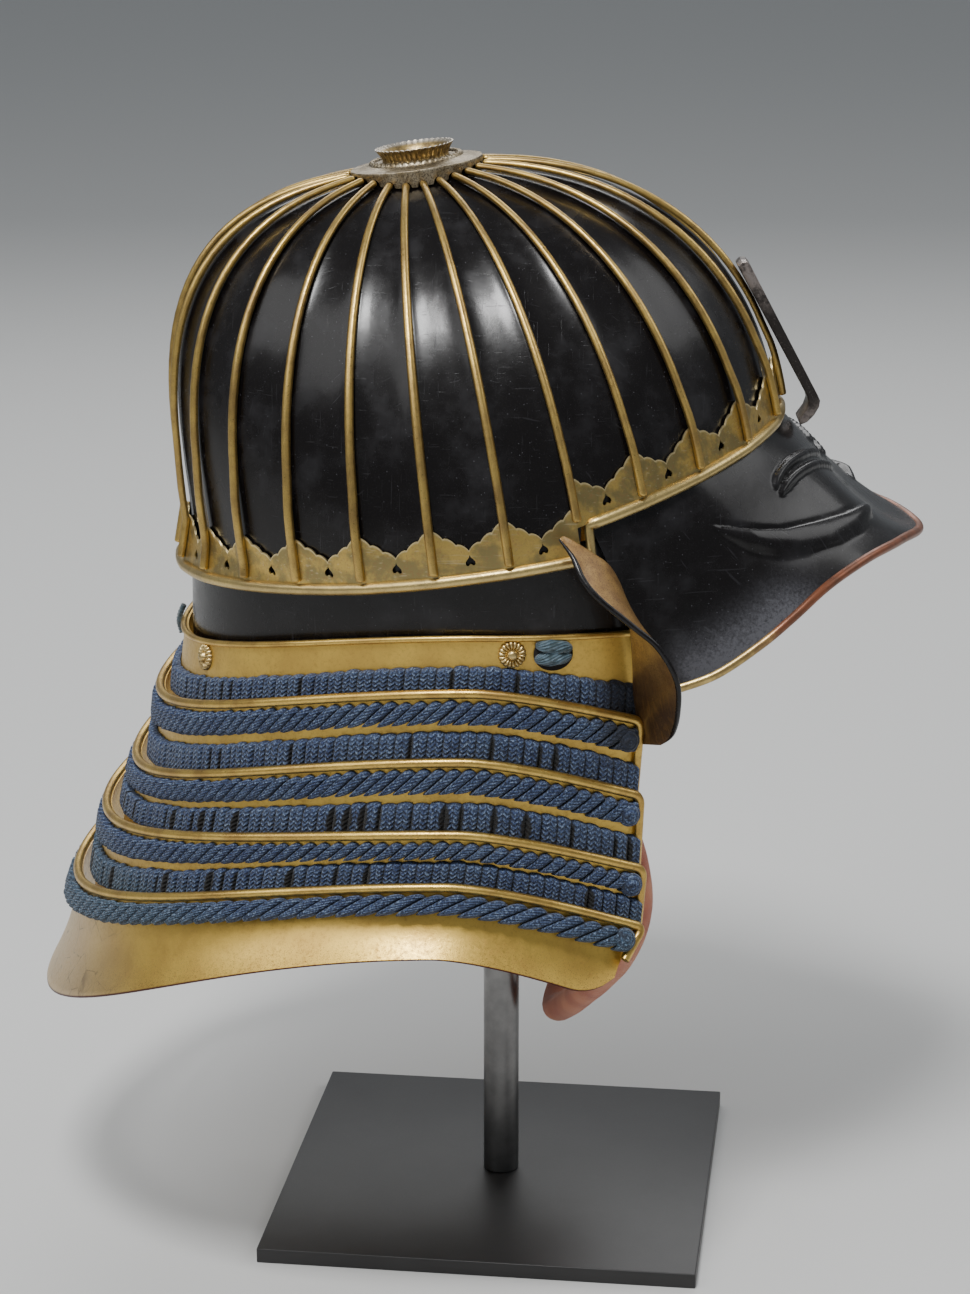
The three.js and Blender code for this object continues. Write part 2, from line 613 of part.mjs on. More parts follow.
function lame(k) {
  const hem = k === LAMES.length - 2;
  const { thick } = LAME;
  const bead = k === 0 ? LAME.topBead : LAME.bead;
  return loft(lameShares.map((share) => {
    const { at, length } = lameFrame(k, share);
    const turnedEdge = Math.abs(share) > 1 - 1.2 * LAME.edge;
    const face = turnedEdge ? bead : 0;
    const middle = hem ? [[0.5, -LAME.sag]] : [];
    const outer = [[0, 1.6 * bead], ...middle.map(([t, o]) => [o, t * length]), [0, length]];
    const inner = [[-thick, length], ...middle.map(([t, o]) => [o - thick, t * length])];
    return [[-thick, -0.7 * bead], [0.2, -0.8 * bead], [bead, 0], [bead, 0.9 * bead],
      ...outer.map(([o, d]) => [o + face, d]), ...inner].map(([o, d]) => at(o, d));
  }));
}
LAMES.slice(0, -1).forEach((row, k) => add(`lame_${k + 1}`, lame(k), goldLeaf));

// A padded strip along a lame's face, between two distances down from its top edge, on the
// lame's own stations but for its turned ends.
const laceShares = lameShares.filter((share) => Math.abs(share) < 1 - 1.2 * LAME.edge);
function laceRow(k, drops) {
  return loft(laceShares.map((share) => {
    const frame = lameFrame(k, share);
    const hem = k === LAMES.length - 2;
    const [from, to] = drops(hem ? LACE.hemSeen : frame.length - LAME.tuck);
    const top = GAP + LACE.thick;
    return [[2 * GAP, from], [top, from + 0.8], [top, to - 0.8], [2 * GAP, to]]
      .map(([lift, drop]) => frame.at(lift, drop));
  }));
}
range(LAMES.length - 2, (k) => {
  const upright = (seen) => [seen - LACE.above - LACE.upright * seen, seen - LACE.above];
  const slanted = (seen) => [LACE.below, LACE.below + LACE.slanted * seen];
  add(`lace_upright_${k + 1}`, laceRow(k, upright), blueLace);
  add(`lace_slanted_${k + 1}`, laceRow(k + 1, slanted), blueLace);
});

// ---------- ornaments and cords of the first lame ----------
// Share of the first lame where its edge passes a given X, on the left side.
function shareAtX(x) {
  const row = LAMES[0];
  const a = row.centreX - row.backX;
  return Math.acos((row.centreX - x) / a) / Math.acos((row.centreX - row.frontX) / a);
}

// Sets a piece that was modelled round +Z on the first lame's face.
function placeOnLame(mesh, share, drop, lift) {
  const { at, out, down } = lameFrame(0, share);
  const side = out.clone().cross(down);
  mesh.position.copy(at(lift, drop));
  mesh.quaternion.setFromRotationMatrix(new THREE.Matrix4().makeBasis(side, down.clone().negate(), out));
}

function rosette() {
  const { radius: r, dome, sides } = ROSETTE;
  const profile = [[0, 0], [r, 0], [r, 0.9], [0.5 * r, 1.5], [0, dome]];
  const lathe = new THREE.LatheGeometry(profile.map(([x, y]) => new THREE.Vector2(x, y)), sides);
  return lathe.rotateX(Math.PI / 2);
}
[['front', ROSETTE.frontX], ['rear', ROSETTE.rearX]].forEach(([where, x]) => {
  [['right', -1], ['left', 1]].forEach(([hand, side]) => {
    const mesh = add(`rosette_${where}_${hand}`, rosette(), gilt);
    placeOnLame(mesh, side * shareAtX(x), ROSETTE.drop, GAP);
  });
});

[['right', -1], ['left', 1]].forEach(([hand, side]) => {
  const lump = new THREE.SphereGeometry(1, 8, 5).scale(KNOT.long, KNOT.high, KNOT.thick);
  placeOnLame(add(`side_knot_${hand}`, lump, blueLace), side * shareAtX(KNOT.x), KNOT.drop, KNOT.thick + GAP);
});

// A short loop of cord standing at the back centre of the first lame.
function backLoop() {
  const top = guardPoint(LAMES[0], 0, BACK_LOOP.out);
  const centres = range(6, (i) => {
    const t = i / 5;
    const bow = BACK_LOOP.bow * Math.sin(Math.PI * t);
    return vec(top.x - bow - BACK_LOOP.lean * (0.5 - t), 0, top.z - 5 + BACK_LOOP.high * t);
  });
  return bar(centres, () => vec(-1, 0, 0), BACK_LOOP.radius, 6);
}
add('back_cord_loop', backLoop(), blueLace);

// ---------- ear flaps ----------
function earFlap(side) {
  const lines = EAR_FLAP.map((row) => [
    vec(row.rootX, side * row.rootY, row.rootZ), vec(row.edgeX, side * row.edgeY, row.edgeZ)]);
  return loft(lines.map(([root, edge], i) => {
    const [before] = lines[Math.max(i - 1, 0)];
    const [after] = lines[Math.min(i + 1, lines.length - 1)];
    const across = edge.clone().sub(root);
    const normal = across.clone().cross(after.clone().sub(before)).normalize();
    const half = normal.multiplyScalar(FLAP_THICK / 2);
    return [root.clone().add(half), edge.clone().add(half), edge.clone().sub(half), root.clone().sub(half)];
  }));
}
add('ear_flap_right', earFlap(-1), brownLacquer);
add('ear_flap_left', earFlap(1), brownLacquer);

// ---------- chin cord ----------
function chinCord() {
  const half = CORD_ROUTE.map(([x, y, z]) => vec(x, y, z));
  const other = CORD_ROUTE.slice(0, -1).reverse().map(([x, y, z]) => vec(x, -y, z));
  const route = new THREE.CatmullRomCurve3([...half, ...other]);
  const round = new THREE.Shape(range(CORD.sides, (i) => {
    const a = 2 * Math.PI * i / CORD.sides;
    return new THREE.Vector2(CORD.radius * Math.cos(a), CORD.radius * Math.sin(a));
  }));
  return new THREE.ExtrudeGeometry(round, { steps: CORD.steps, extrudePath: route });
}
add('chin_cord', chinCord(), cordRed);

// ---------- stand ----------
const stand = new THREE.Group();
stand.rotation.z = rad(BASE.yaw);
helmet.add(stand);

const plate = new THREE.BoxGeometry(BASE.side, BASE.side, BASE.thick);
add('stand_base', plate, satinBlack, stand).position.z = BASE.thick / 2;

// The post with the round pad that carries the bowl from inside, turned as one profile.
function post() {
  const { radius, capRadius, capThick, capTop, sides } = POST;
  const foot = BASE.thick + GAP;
  const profile = [[0, foot], [radius, foot], [radius, capTop - capThick], [capRadius, capTop - capThick],
    [capRadius, capTop - 2], [capRadius - 3, capTop], [0, capTop]];
  const lathe = new THREE.LatheGeometry(profile.map(([x, y]) => new THREE.Vector2(x, y)), sides);
  return lathe.rotateX(Math.PI / 2);
}
add('stand_post', post(), satinSteel, stand);

export default helmet;
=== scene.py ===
import math
from functools import lru_cache

import bpy
from mathutils import Matrix, Vector, noise


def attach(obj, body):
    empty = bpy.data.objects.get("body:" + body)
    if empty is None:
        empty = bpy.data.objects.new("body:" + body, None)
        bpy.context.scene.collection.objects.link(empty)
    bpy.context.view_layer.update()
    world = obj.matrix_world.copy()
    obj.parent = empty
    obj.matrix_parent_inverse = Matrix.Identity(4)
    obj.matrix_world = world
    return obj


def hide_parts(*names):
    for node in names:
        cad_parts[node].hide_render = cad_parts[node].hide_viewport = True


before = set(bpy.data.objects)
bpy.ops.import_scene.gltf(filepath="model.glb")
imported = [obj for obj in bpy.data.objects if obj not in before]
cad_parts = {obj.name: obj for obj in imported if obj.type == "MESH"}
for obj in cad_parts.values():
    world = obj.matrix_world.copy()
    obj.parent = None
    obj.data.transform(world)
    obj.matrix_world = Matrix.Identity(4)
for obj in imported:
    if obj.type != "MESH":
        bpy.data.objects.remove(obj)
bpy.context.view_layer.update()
mm = 0.001


# ---------- camera ----------
# Level with the middle of the neck guard, looking a little down on the wearer's right side.
bpy.ops.object.camera_add(location=(-0.0066, -1.171, 0.565), rotation=(math.radians(73.9), 0, 0))
camera = bpy.context.object
camera.data.lens = 86.97
camera.data.sensor_width = 36
bpy.context.scene.camera = camera


# ---------- shader sums ----------
# A finish is one material. Its sockets are added and multiplied like numbers.
class Value:
    """One shader socket that can be used in a sum."""

    def __init__(self, finish, socket):
        self.finish, self.socket = finish, socket

    def maths(self, operation, *others):
        return self.finish.node("ShaderNodeMath", {"operation": operation}, dict(enumerate((self,) + others)))

    def __add__(self, other):
        return self.maths("ADD", other)

    def __mul__(self, other):
        return self.maths("MULTIPLY", other)

    def __sub__(self, other):
        return self.maths("SUBTRACT", other)

    def __rsub__(self, other):
        return self.finish.node("ShaderNodeMath", {"operation": "SUBTRACT"}, {0: other, 1: self})

    def __pow__(self, other):
        return self.maths("POWER", other)

    __radd__ = __add__
    __rmul__ = __mul__

    def rise(self, low, high):
        """0 below low, 1 above high, smooth between; falls if low is the larger."""
        settings = {"interpolation_type": "SMOOTHSTEP"}
        if low > high:
            return 1 - self.rise(high, low)
        return self.finish.node("ShaderNodeMapRange", settings,
                                {"Value": self, "From Min": low, "From Max": high})


class Finish:
    """A material whose varying inputs are Base Color, Roughness, Metallic and Normal."""

    def __init__(self, name, **shader):
        self.material = bpy.data.materials.new(name)
        self.material.use_nodes = True
        self.tree = self.material.node_tree
        self.shader = self.tree.nodes["Principled BSDF"]
        for socket, value in shader.items():
            self.shader.inputs[socket.replace("_", " ")].default_value = value

    def node(self, kind, settings=None, sockets=None, output=0):
        made = self.tree.nodes.new(kind)
        for key, value in (settings or {}).items():
            if key == "stops":
                while len(made.color_ramp.elements) < len(value):
                    made.color_ramp.elements.new(0.5)
                for element, (place, colour) in zip(made.color_ramp.elements, value):
                    element.position, element.color = place, (*colour, 1)
            else:
                setattr(made, key, value)
        for key, value in (sockets or {}).items():
            self.put(made.inputs[key], value)
        return Value(self, made.outputs[output])

    def put(self, socket, value):
        if isinstance(value, Value):
            self.tree.links.new(value.socket, socket)
        elif isinstance(value, (tuple, list)) and len(value) == 3 and socket.type == "RGBA":
            socket.default_value = (*value, 1)
        else:
            socket.default_value = value

    def set(self, **inputs):
        for socket, value in inputs.items():
            self.put(self.shader.inputs[socket.replace("_", " ")], value)
        return self

    def place(self, scale=(1, 1, 1), turn=(0, 0, 0), shift=(0, 0, 0)):
        """The object's own coordinates in millimetres, then scaled and turned."""
        where = self.node("ShaderNodeTexCoord", None, None, "Object")
        size = [1000 * s for s in scale]
        return self.node("ShaderNodeMapping", None, {"Vector": where, "Location": shift,
            "Rotation": turn, "Scale": size})

    def uv(self, scale=(1, 1, 1), turn=(0, 0, 0)):
        where = self.node("ShaderNodeTexCoord", None, None, "UV")
        return self.node("ShaderNodeMapping", None, {"Vector": where, "Rotation": turn, "Scale": scale})

    def part(self, vector, axis):
        return self.node("ShaderNodeSeparateXYZ", None, {0: vector}, axis)

    def noise(self, where, scale, detail=3, rough=0.5, stretch=0):
        inputs = {"Vector": where, "Scale": scale, "Detail": detail,
                  "Roughness": rough, "Distortion": stretch}
        return self.node("ShaderNodeTexNoise", None, inputs)

    def cells(self, where, scale, feature="F1"):
        return self.node("ShaderNodeTexVoronoi", {"feature": feature},
                         {"Vector": where, "Scale": scale}, "Distance")

    def mix(self, share, first, second):
        settings = {"data_type": "RGBA"}
        return self.node("ShaderNodeMix", settings, {0: share, 6: first, 7: second}, 2)

    def bump(self, height, depth, normal=None):
        """Relief of a height value; depth is in millimetres."""
        sockets = {"Height": height, "Strength": 1.0, "Distance": depth * mm}
        if normal is not None:
            sockets["Normal"] = normal
        return self.node("ShaderNodeBump", None, sockets)


# ---------- chin cord ----------
# A soft padded silk cord, one loop from the inside of the waistband down and round under
# the chin. It hangs by its two ends, so it swings down to a rounded middle.
CORD_SIZE = 11.6
CORD_HALF = [
    (26, -88, 250), (29, -88, 236), (33, -88, 220), (38, -88, 203), (43, -88, 186),
    (48, -88, 170), (50, -86, 154), (48, -80, 139), (44, -69, 125), (39, -54, 112),
    (33, -37, 99), (27, -19, 86), (22, 0, 77),
]


def grid(name, columns, rows, place, wrap_u=False, wrap_v=False, outward=None):
    """A grid whose points go to place(u, v) in millimetres; wrapped sides are joined and
    open ends of a tube are closed. outward is a point the faces look away from."""
    bpy.ops.object.select_all(action="DESELECT")
    bpy.ops.mesh.primitive_grid_add(x_subdivisions=columns, y_subdivisions=rows, size=1)
    piece = bpy.context.object
    piece.name = piece.data.name = name
    spots = {}
    for vertex in piece.data.vertices:
        u, v = round(vertex.co.x + 0.5, 5), round(vertex.co.y + 0.5, 5)
        spots[vertex.index] = (u, v)
        vertex.co = Vector(place(0.0 if wrap_u and u == 1 else u, 0.0 if wrap_v and v == 1 else v)) * mm
    uvs = piece.data.uv_layers.active.data
    for loop in piece.data.loops:
        uvs[loop.index].uv = spots[loop.vertex_index]
    if wrap_u or wrap_v:
        bpy.ops.object.mode_set(mode="EDIT")
        bpy.ops.mesh.select_all(action="SELECT")
        bpy.ops.mesh.remove_doubles(threshold=0.00001)
        bpy.ops.mesh.fill_holes(sides=0)
        bpy.ops.mesh.normals_make_consistent(inside=False)
        bpy.ops.object.mode_set(mode="OBJECT")
    elif outward is not None:
        heart = Vector(outward) * mm
        facing = sum(face.normal.dot(face.center - heart) * face.area for face in piece.data.polygons)
        if facing < 0:
            bpy.ops.object.mode_set(mode="EDIT")
            bpy.ops.mesh.select_all(action="SELECT")
            bpy.ops.mesh.flip_normals()
            bpy.ops.object.mode_set(mode="OBJECT")
    return piece


def alone(piece):
    bpy.ops.object.select_all(action="DESELECT")
    bpy.context.view_layer.objects.active = piece
    piece.select_set(True)


def apply(piece, kind, **settings):
    alone(piece)
    modifier = piece.modifiers.new(kind.title(), kind)
    for key, value in settings.items():
        setattr(modifier, key, value)
    bpy.ops.object.modifier_apply(modifier=modifier.name)


def done(piece, finish, slot, *nodes, angle=40):
    """Smooth shading, its material, and its place in the assembly."""
    alone(piece)
    bpy.ops.object.shade_smooth_by_angle(angle=math.radians(angle))
    piece.data.materials.clear()
    piece.data.materials.append(finish.material)
    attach(piece, "root")
    if nodes:
        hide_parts(*nodes)
    return piece


def through(points, share):
    """A smooth line through points, at a share of its run."""
    place = min(share, 0.99999) * (len(points) - 1)
    i, t = int(place), place - int(place)
    a, b, c, d = (points[min(max(i + j, 0), len(points) - 1)] for j in (-1, 0, 1, 2))
    return 0.5 * ((2 * b) + (c - a) * t + (2 * a - 5 * b + 4 * c - d) * t**2 + (3 * b - a - 3 * c + d) * t**3)


cord_points = [Vector(p) for p in CORD_HALF] + [Vector((x, -y, z)) for x, y, z in CORD_HALF[-2::-1]]
cord_line = [through(cord_points, i / 240) for i in range(241)]
cord_length = sum((b - a).length for a, b in zip(cord_line, cord_line[1:]))


def cord_skin(u, v):
    """u runs along the cord and v round it, with the long soft creases of padded silk."""
    i = min(int(u * 240), 239)
    centre = cord_line[i].lerp(cord_line[i + 1], u * 240 - i)
    ahead = (cord_line[min(i + 2, 240)] - cord_line[max(i - 1, 0)]).normalized()
    side = ahead.cross(Vector((1, 0, 0))).normalized()
    out = side.cross(ahead)
    turn = 2 * math.pi * v
    crease = 0.35 * noise.noise(Vector((math.cos(turn) * 1.3, math.sin(turn) * 1.3, u * 26)))
    radius = 0.5 * CORD_SIZE * (0.965 + 0.1 * crease)
    return centre + (out * math.cos(turn) + side * math.sin(turn)) * radius


chin_cord = grid("chin_cord_silk", 240, 20, cord_skin, wrap_v=True)
silk = Finish("salmon silk", Sheen_Weight=0.35, Sheen_Roughness=0.4)
weave_place = silk.uv((900, 46, 1), (0, 0, 0.12))
weave = silk.node("ShaderNodeTexWave", {"wave_type": "BANDS", "bands_direction": "X"},
                  {"Vector": weave_place, "Scale": 0.32, "Distortion": 1.2, "Detail": 1})
cloud = silk.noise(silk.place((0.09, 0.09, 0.09)), 1, 4)
silk_tone = silk.mix(cloud.rise(0.3, 0.7), (0.58, 0.15, 0.075), (0.80, 0.30, 0.15))
silk.set(Base_Color=silk.mix(weave * 0.25, silk_tone, (0.42, 0.12, 0.08)),
         Roughness=0.62, Normal=silk.bump(weave + cloud * 2, 0.25))
done(chin_cord, silk, "salmon_cord", "chin_cord", angle=80)
cord_line[0] * mm
[p * mm for p in cord_line[::4]]


# ---------- bowl ----------
# Twenty-six thin iron plates riveted edge to edge: each plate turns up at both sides to
# the rib that covers the joint. The outside is black lacquer, rubbed and finely scratched.
CROWN = Vector((-34, 0, 412.2))
LEAN = math.radians(7.5)
WIDEST = {"offset": 12.3, "half_length": 113.8, "half_width": 107}
DOME = {
    "front": {"depth": 114.5, "power": 2.36, "flare": 0},
    "side": {"depth": 138.5, "power": 2.05, "flare": 0.04},
    "rear": {"depth": 115, "power": 3.09, "flare": 0.186},
}
TEMPLE = 66.5
RIBS = [0, 14, 27.6, 40.9, 53.7, TEMPLE, 79.7, 93.8, 108.5, 123.3, 138, 152.7, 167, 180]
RIM = {"front": (27, 300, 0.305), "rear": (-122, 266, 0.152)}
PLATE_DISH = 1.15
ROLL = 2.2
heart_of_bowl = (-20, 0, 300)


@lru_cache(None)
def dome_line(azimuth):
    """Reach, depth, power and flare of the meridian at an azimuth, in degrees."""
    c, s = math.cos(math.radians(azimuth)), math.sin(math.radians(azimuth))
    ends = DOME["front"] if c > 0 else DOME["rear"]
    depth, power, flare = (DOME["side"][k] + (ends[k] - DOME["side"][k]) * c * c
                           for k in ("depth", "power", "flare"))
    a = (c / WIDEST["half_length"]) ** 2 + (s / WIDEST["half_width"]) ** 2
    b = -2 * WIDEST["offset"] * c / WIDEST["half_length"] ** 2
    d = (WIDEST["offset"] / WIDEST["half_length"]) ** 2 - 1
    reach = (-b + math.sqrt(b * b - 4 * a * d)) / (2 * a)
    return reach, depth, power, flare, c, s


def meridian(azimuth, polar):
    reach, depth, power, flare, _, _ = dome_line(azimuth)
    dome = math.radians(min(polar, 90))
    below = max(polar - 90, 0) * 1.6
    out = reach * math.sin(dome) ** (2 / power) * (1 + flare * below / 60)
    return out, depth * max(math.cos(dome), 0) ** (2 / power) - depth - below


def upright(azimuth, out, up):
    c, s = dome_line(azimuth)[4:]
    forward = out * c
    return CROWN + Vector((
        forward * math.cos(LEAN) - up * math.sin(LEAN), out * s,
        forward * math.sin(LEAN) + up * math.cos(LEAN)))


@lru_cache(None)
def dish(azimuth):
    """How far a plate lies below the line of its two ribs: flat, with upturned sides."""
    turned = abs(azimuth)
    after = next(i for i, rib in enumerate(RIBS) if i and turned <= rib)
    share = (turned - RIBS[after - 1]) / (RIBS[after] - RIBS[after - 1])
    return PLATE_DISH * (1 - abs(2 * share - 1) ** 3.2)


def on_bowl(azimuth, polar, lift=0.0, dished=1):
    azimuth = azimuth - 360 if azimuth > 180 else azimuth
    out, up = meridian(azimuth, polar)
    flat = upright(azimuth, out, up)
    lower, side = (upright(azimuth, *meridian(azimuth, polar + 0.5)),
                   upright(azimuth + 0.5, *meridian(azimuth + 0.5, polar)))
    normal = (lower - flat).cross(side - flat).normalized()
    return flat + normal * (lift - dished * dish(azimuth) * min(out / 60, 1))


def polar_where(azimuth, passed):
    high, low = 2.0, 150.0
    for _ in range(26):
        middle = (high + low) / 2
        out, up = meridian(azimuth, middle)
        if passed(upright(azimuth, out, up), out):
            low = middle
        else:
            high = middle
    return high


@lru_cache(None)
def rim_polar(azimuth, edge, above=0.0):
    """Polar angle at a height over the line of the rolled rim."""
    azimuth = azimuth - 360 if azimuth > 180 else azimuth
    x, z, slope = RIM[edge]
    return polar_where(azimuth, lambda p, out: p.z < z + slope * (p.x - x) + above)


@lru_cache(None)
def out_polar(azimuth, distance):
    azimuth = azimuth - 360 if azimuth > 180 else azimuth
    return polar_where(azimuth, lambda p, out: out > distance)


def edge_of(azimuth):
    turned = azimuth if azimuth <= 180 else 360 - azimuth
    return "front" if abs(turned) < TEMPLE else "rear"


ribs_round = RIBS + [360 - a for a in RIBS[-2:0:-1]] + [360]
STEPS = 10  # faces over each plate of the bowl


def panel_azimuth(place):
    """Azimuth at a place counted in panels round the bowl."""
    i = min(int(place), 25)
    return ribs_round[i] + (ribs_round[i + 1] - ribs_round[i]) * (place - i)


def bowl_skin(u, v):
    azimuth = round(panel_azimuth(u * 26), 4)
    top, foot = out_polar(azimuth, 10.0), rim_polar(azimuth, edge_of(azimuth), ROLL + 0.3)
    return on_bowl(azimuth, top + (foot - top) * v)


bowl = grid("bowl_plates", 26 * STEPS, 56, bowl_skin, wrap_u=False, outward=heart_of_bowl)
alone(bowl)
bpy.ops.object.mode_set(mode="EDIT")
bpy.ops.mesh.select_all(action="SELECT")
bpy.ops.mesh.remove_doubles(threshold=0.00001)
bpy.ops.object.mode_set(mode="OBJECT")
apply(bowl, "SOLIDIFY", thickness=1.5 * mm, offset=-1)


def lacquer_finish(name, scratch_scale, painted_sheen=None):
    """Black lacquer: a clear deep gloss with dust, rubbed haze and fine hair scratches. painted_sheen
    is a function that adds pale grey painted sheen where the piece needs it."""
    made = Finish(name, Coat_Weight=0.10, Coat_Roughness=0.10, Specular_IOR_Level=0.28)
    place = made.place((0.1, 0.1, 0.1))
    haze = made.noise(place, 0.55, 5, 0.6)
    dust = made.noise(place, 26, 2, 0.5)
    speck = made.cells(made.place(), 0.42)
    scratches = None
    for turn, stretch in (((0.3, 0.7, 0.2), (0.9, 0.03, 0.03)),
                          ((1.1, 0.2, 0.9), (0.03, 0.8, 0.03)),
                          ((0.4, 1.2, 1.9), (0.04, 0.04, 0.7))):
        line = made.noise(made.place([s * scratch_scale for s in stretch], turn),
                          2.6, 2, 0.5).rise(0.69, 0.73)
        scratches = line if scratches is None else scratches + line
    pale = (haze.rise(0.45, 0.8) * 0.16 + dust.rise(0.6, 0.75) * 0.12
            + (1 - speck.rise(0.03, 0.11)) * 0.8 + scratches * 0.12)
    # Painted sheen, where it is given, makes the lacquer paler.
    if painted_sheen:
        pale = pale + painted_sheen(made)
    colour = made.mix(pale, (0.004, 0.003, 0.003), (0.085, 0.085, 0.095))
    rough = haze.rise(0.35, 0.8) * 0.14 + 0.22 + dust.rise(0.6, 0.8) * 0.1
    made.set(Base_Color=colour, Roughness=rough,
             Normal=made.bump(haze * 3 + scratches * -0.2 + dust * 0.1, 0.05))
    return made


black_lacquer = lacquer_finish("black lacquer", 1.0)
done(bowl, black_lacquer, "black_lacquer", "bowl_shell", angle=60)


# ---------- ribs ----------
# Gilt copper mouldings, round on top, that cover the joints between the plates. Each runs
# from a ball end under the crown plate over the hem band and ends in a square foot on its roll.
RIB_WIDE = 3.3
PLATE_RADIUS = 24.8
FITTING_SHIFT = 2.2


def gilt_finish(name, pale, brown, age=1.0):
    """Gilding worn to pinkish copper and greenish brown, with fine pits."""
    made = Finish(name)
    place = made.place((0.1, 0.1, 0.1))
    cloud = made.noise(place, 0.8, 5, 0.6)
    fine = made.noise(place, 9, 4, 0.65)
    pits = made.noise(place, 34, 2, 0.6).rise(0.6, 0.72)
    colour = made.mix(cloud.rise(0.35, 0.7) * age, pale, brown)
    colour = made.mix(fine.rise(0.52, 0.75) * 0.55 * age, colour, (0.24, 0.15, 0.075))
    colour = made.mix(pits * 0.6, colour, (0.07, 0.05, 0.03))
    made.set(Base_Color=colour, Metallic=0.95, Roughness=0.27 + fine.rise(0.3, 0.8) * 0.2 + pits * 0.2,
             Normal=made.bump(fine + pits * -0.6, 0.03))
    return made


rib_gilt = gilt_finish("rib gilding", (0.64, 0.44, 0.13), (0.38, 0.25, 0.09))


def rib_cover(number, azimuth, hand):
    top = out_polar(azimuth % 360, PLATE_RADIUS + FITTING_SHIFT * math.cos(math.radians(azimuth)) + 0.3)
    foot = rim_polar(azimuth % 360, "front" if abs(azimuth) <= TEMPLE else "rear", ROLL + 0.6)
    across = Vector((-math.sin(math.radians(azimuth)), math.cos(math.radians(azimuth)), 0))
    length = (on_bowl(azimuth % 360, top) - on_bowl(azimuth % 360, foot)).length * 1.15

    def skin(u, v):
        u -= 0.9 * math.sin(2 * math.pi * u) / (2 * math.pi)
        end = min(u, (1 - u) * 2.5) * length
        round_end = math.sqrt(max(1 - max(1 - end / (RIB_WIDE / 2), 0) ** 2, 0.0))
        swell = 0.80 + 0.24 * min(u * 1.6, 1) + 0.12 * max(1 - u * length / 3.5, 0)
        turn = math.pi * (1.18 - 1.36 * v)
        reach = RIB_WIDE / 2 * round_end * swell
        over_band = 0.75 * min(max((u - 0.84) / 0.05, 0), 1)
        lift = 1.7 + over_band + 1.65 * round_end * swell * math.sin(turn)
        return on_bowl(azimuth % 360, top + (foot - top) * u, lift) + across * reach * math.cos(turn)

    rib = grid(f"rib_cover_{number:02d}{hand}", 46, 10, skin, outward=heart_of_bowl)
    done(rib, rib_gilt, "gilt_copper", f"rib_{number:02d}{hand}", angle=80)


for number, azimuth in enumerate(RIBS):
    if azimuth in (0, 180):
        rib_cover(number, azimuth, "")
    else:
        rib_cover(number, -azimuth, "_right")
        rib_cover(number, azimuth, "_left")


# ---------- hem bands ----------
# Thin gilt strips round the foot of the bowl, front and rear, cut in small scallops along
# the top and pierced with an inverted heart in each plate, over a thick rolled edge.
BAND_LIFT = 1.65
BAND_AT_RIB, BAND_AT_NOTCH = 19, 10.2
LOBES = 3
HEART = {"wide": 3.5, "tall": 3.7, "above": 5.0}


def scallop(place):
    """Height of the band's top edge at a place counted in panels."""
    t = 1 - abs(2 * (place % 1) - 1)
    lobe = abs(math.sin(math.pi * LOBES * t)) ** 0.7
    return BAND_AT_RIB + (BAND_AT_NOTCH - BAND_AT_RIB) * t ** 0.85 + 0.95 * lobe * min(1, 12 * t)


def heart_outline():
    """An inverted heart with a small nick between its lobes, its point up."""
    half = [(0, 1.0), (0.2, 0.74), (0.64, 0.54), (0.95, 0.33), (1.0, 0.12),
            (0.8, -0.05), (0.44, -0.06), (0.16, 0.08), (0, 0.1)]
    w, h = HEART["wide"] / 2, HEART["tall"]
    return [(x * w, y * h) for x, y in half] + [(-x * w, y * h) for x, y in half[-2:0:-1]]


def heart_cutter(azimuth, edge):
    polar = rim_polar(azimuth, edge, HEART["above"])
    centre = on_bowl(azimuth, polar, BAND_LIFT)
    down = (on_bowl(azimuth, polar + 1) - on_bowl(azimuth, polar - 1)).normalized()
    side = (on_bowl(azimuth + 1, polar) - on_bowl(azimuth - 1, polar)).normalized()
    out = side.cross(-down) if side.cross(-down).dot(centre - Vector(heart_of_bowl)) > 0 else down.cross(side)
    bpy.ops.object.select_all(action="DESELECT")
    bpy.ops.mesh.primitive_circle_add(vertices=len(heart_outline()), radius=1, fill_type="NGON")
    cutter = bpy.context.object
    for vertex, (x, y) in zip(cutter.data.vertices, heart_outline()):
        vertex.co = (centre + side * x - down * y - out * 1.6) * mm
    bpy.ops.object.mode_set(mode="EDIT")
    bpy.ops.mesh.select_all(action="SELECT")
    bpy.ops.mesh.extrude_region_move(TRANSFORM_OT_translate={"value": out * 3.6 * mm})
    bpy.ops.mesh.select_all(action="SELECT")
    bpy.ops.mesh.normals_make_consistent(inside=False)
    bpy.ops.object.mode_set(mode="OBJECT")
    return cutter


def join(pieces):
    bpy.ops.object.select_all(action="DESELECT")
    for piece in pieces:
        piece.select_set(True)
    bpy.context.view_layer.objects.active = pieces[0]
    bpy.ops.object.join()
    return bpy.context.object


def tube(name, line, radius, sides=14):
    """A round bar along a list of points; its radius may change along it."""
    count = len(line) - 1

    def skin(u, v):
        i = round(u * count)
        ahead = (line[min(i + 1, count)] - line[max(i - 1, 0)]).normalized()
        out = (line[i] - Vector(heart_of_bowl)).normalized()
        side = ahead.cross(out).normalized()
        out = side.cross(ahead)
        size = radius(u) if callable(radius) else radius
        turn = 2 * math.pi * v
        return line[i] + (out * math.cos(turn) + side * math.sin(turn)) * size

    return grid(name, count, sides, skin, wrap_v=True)


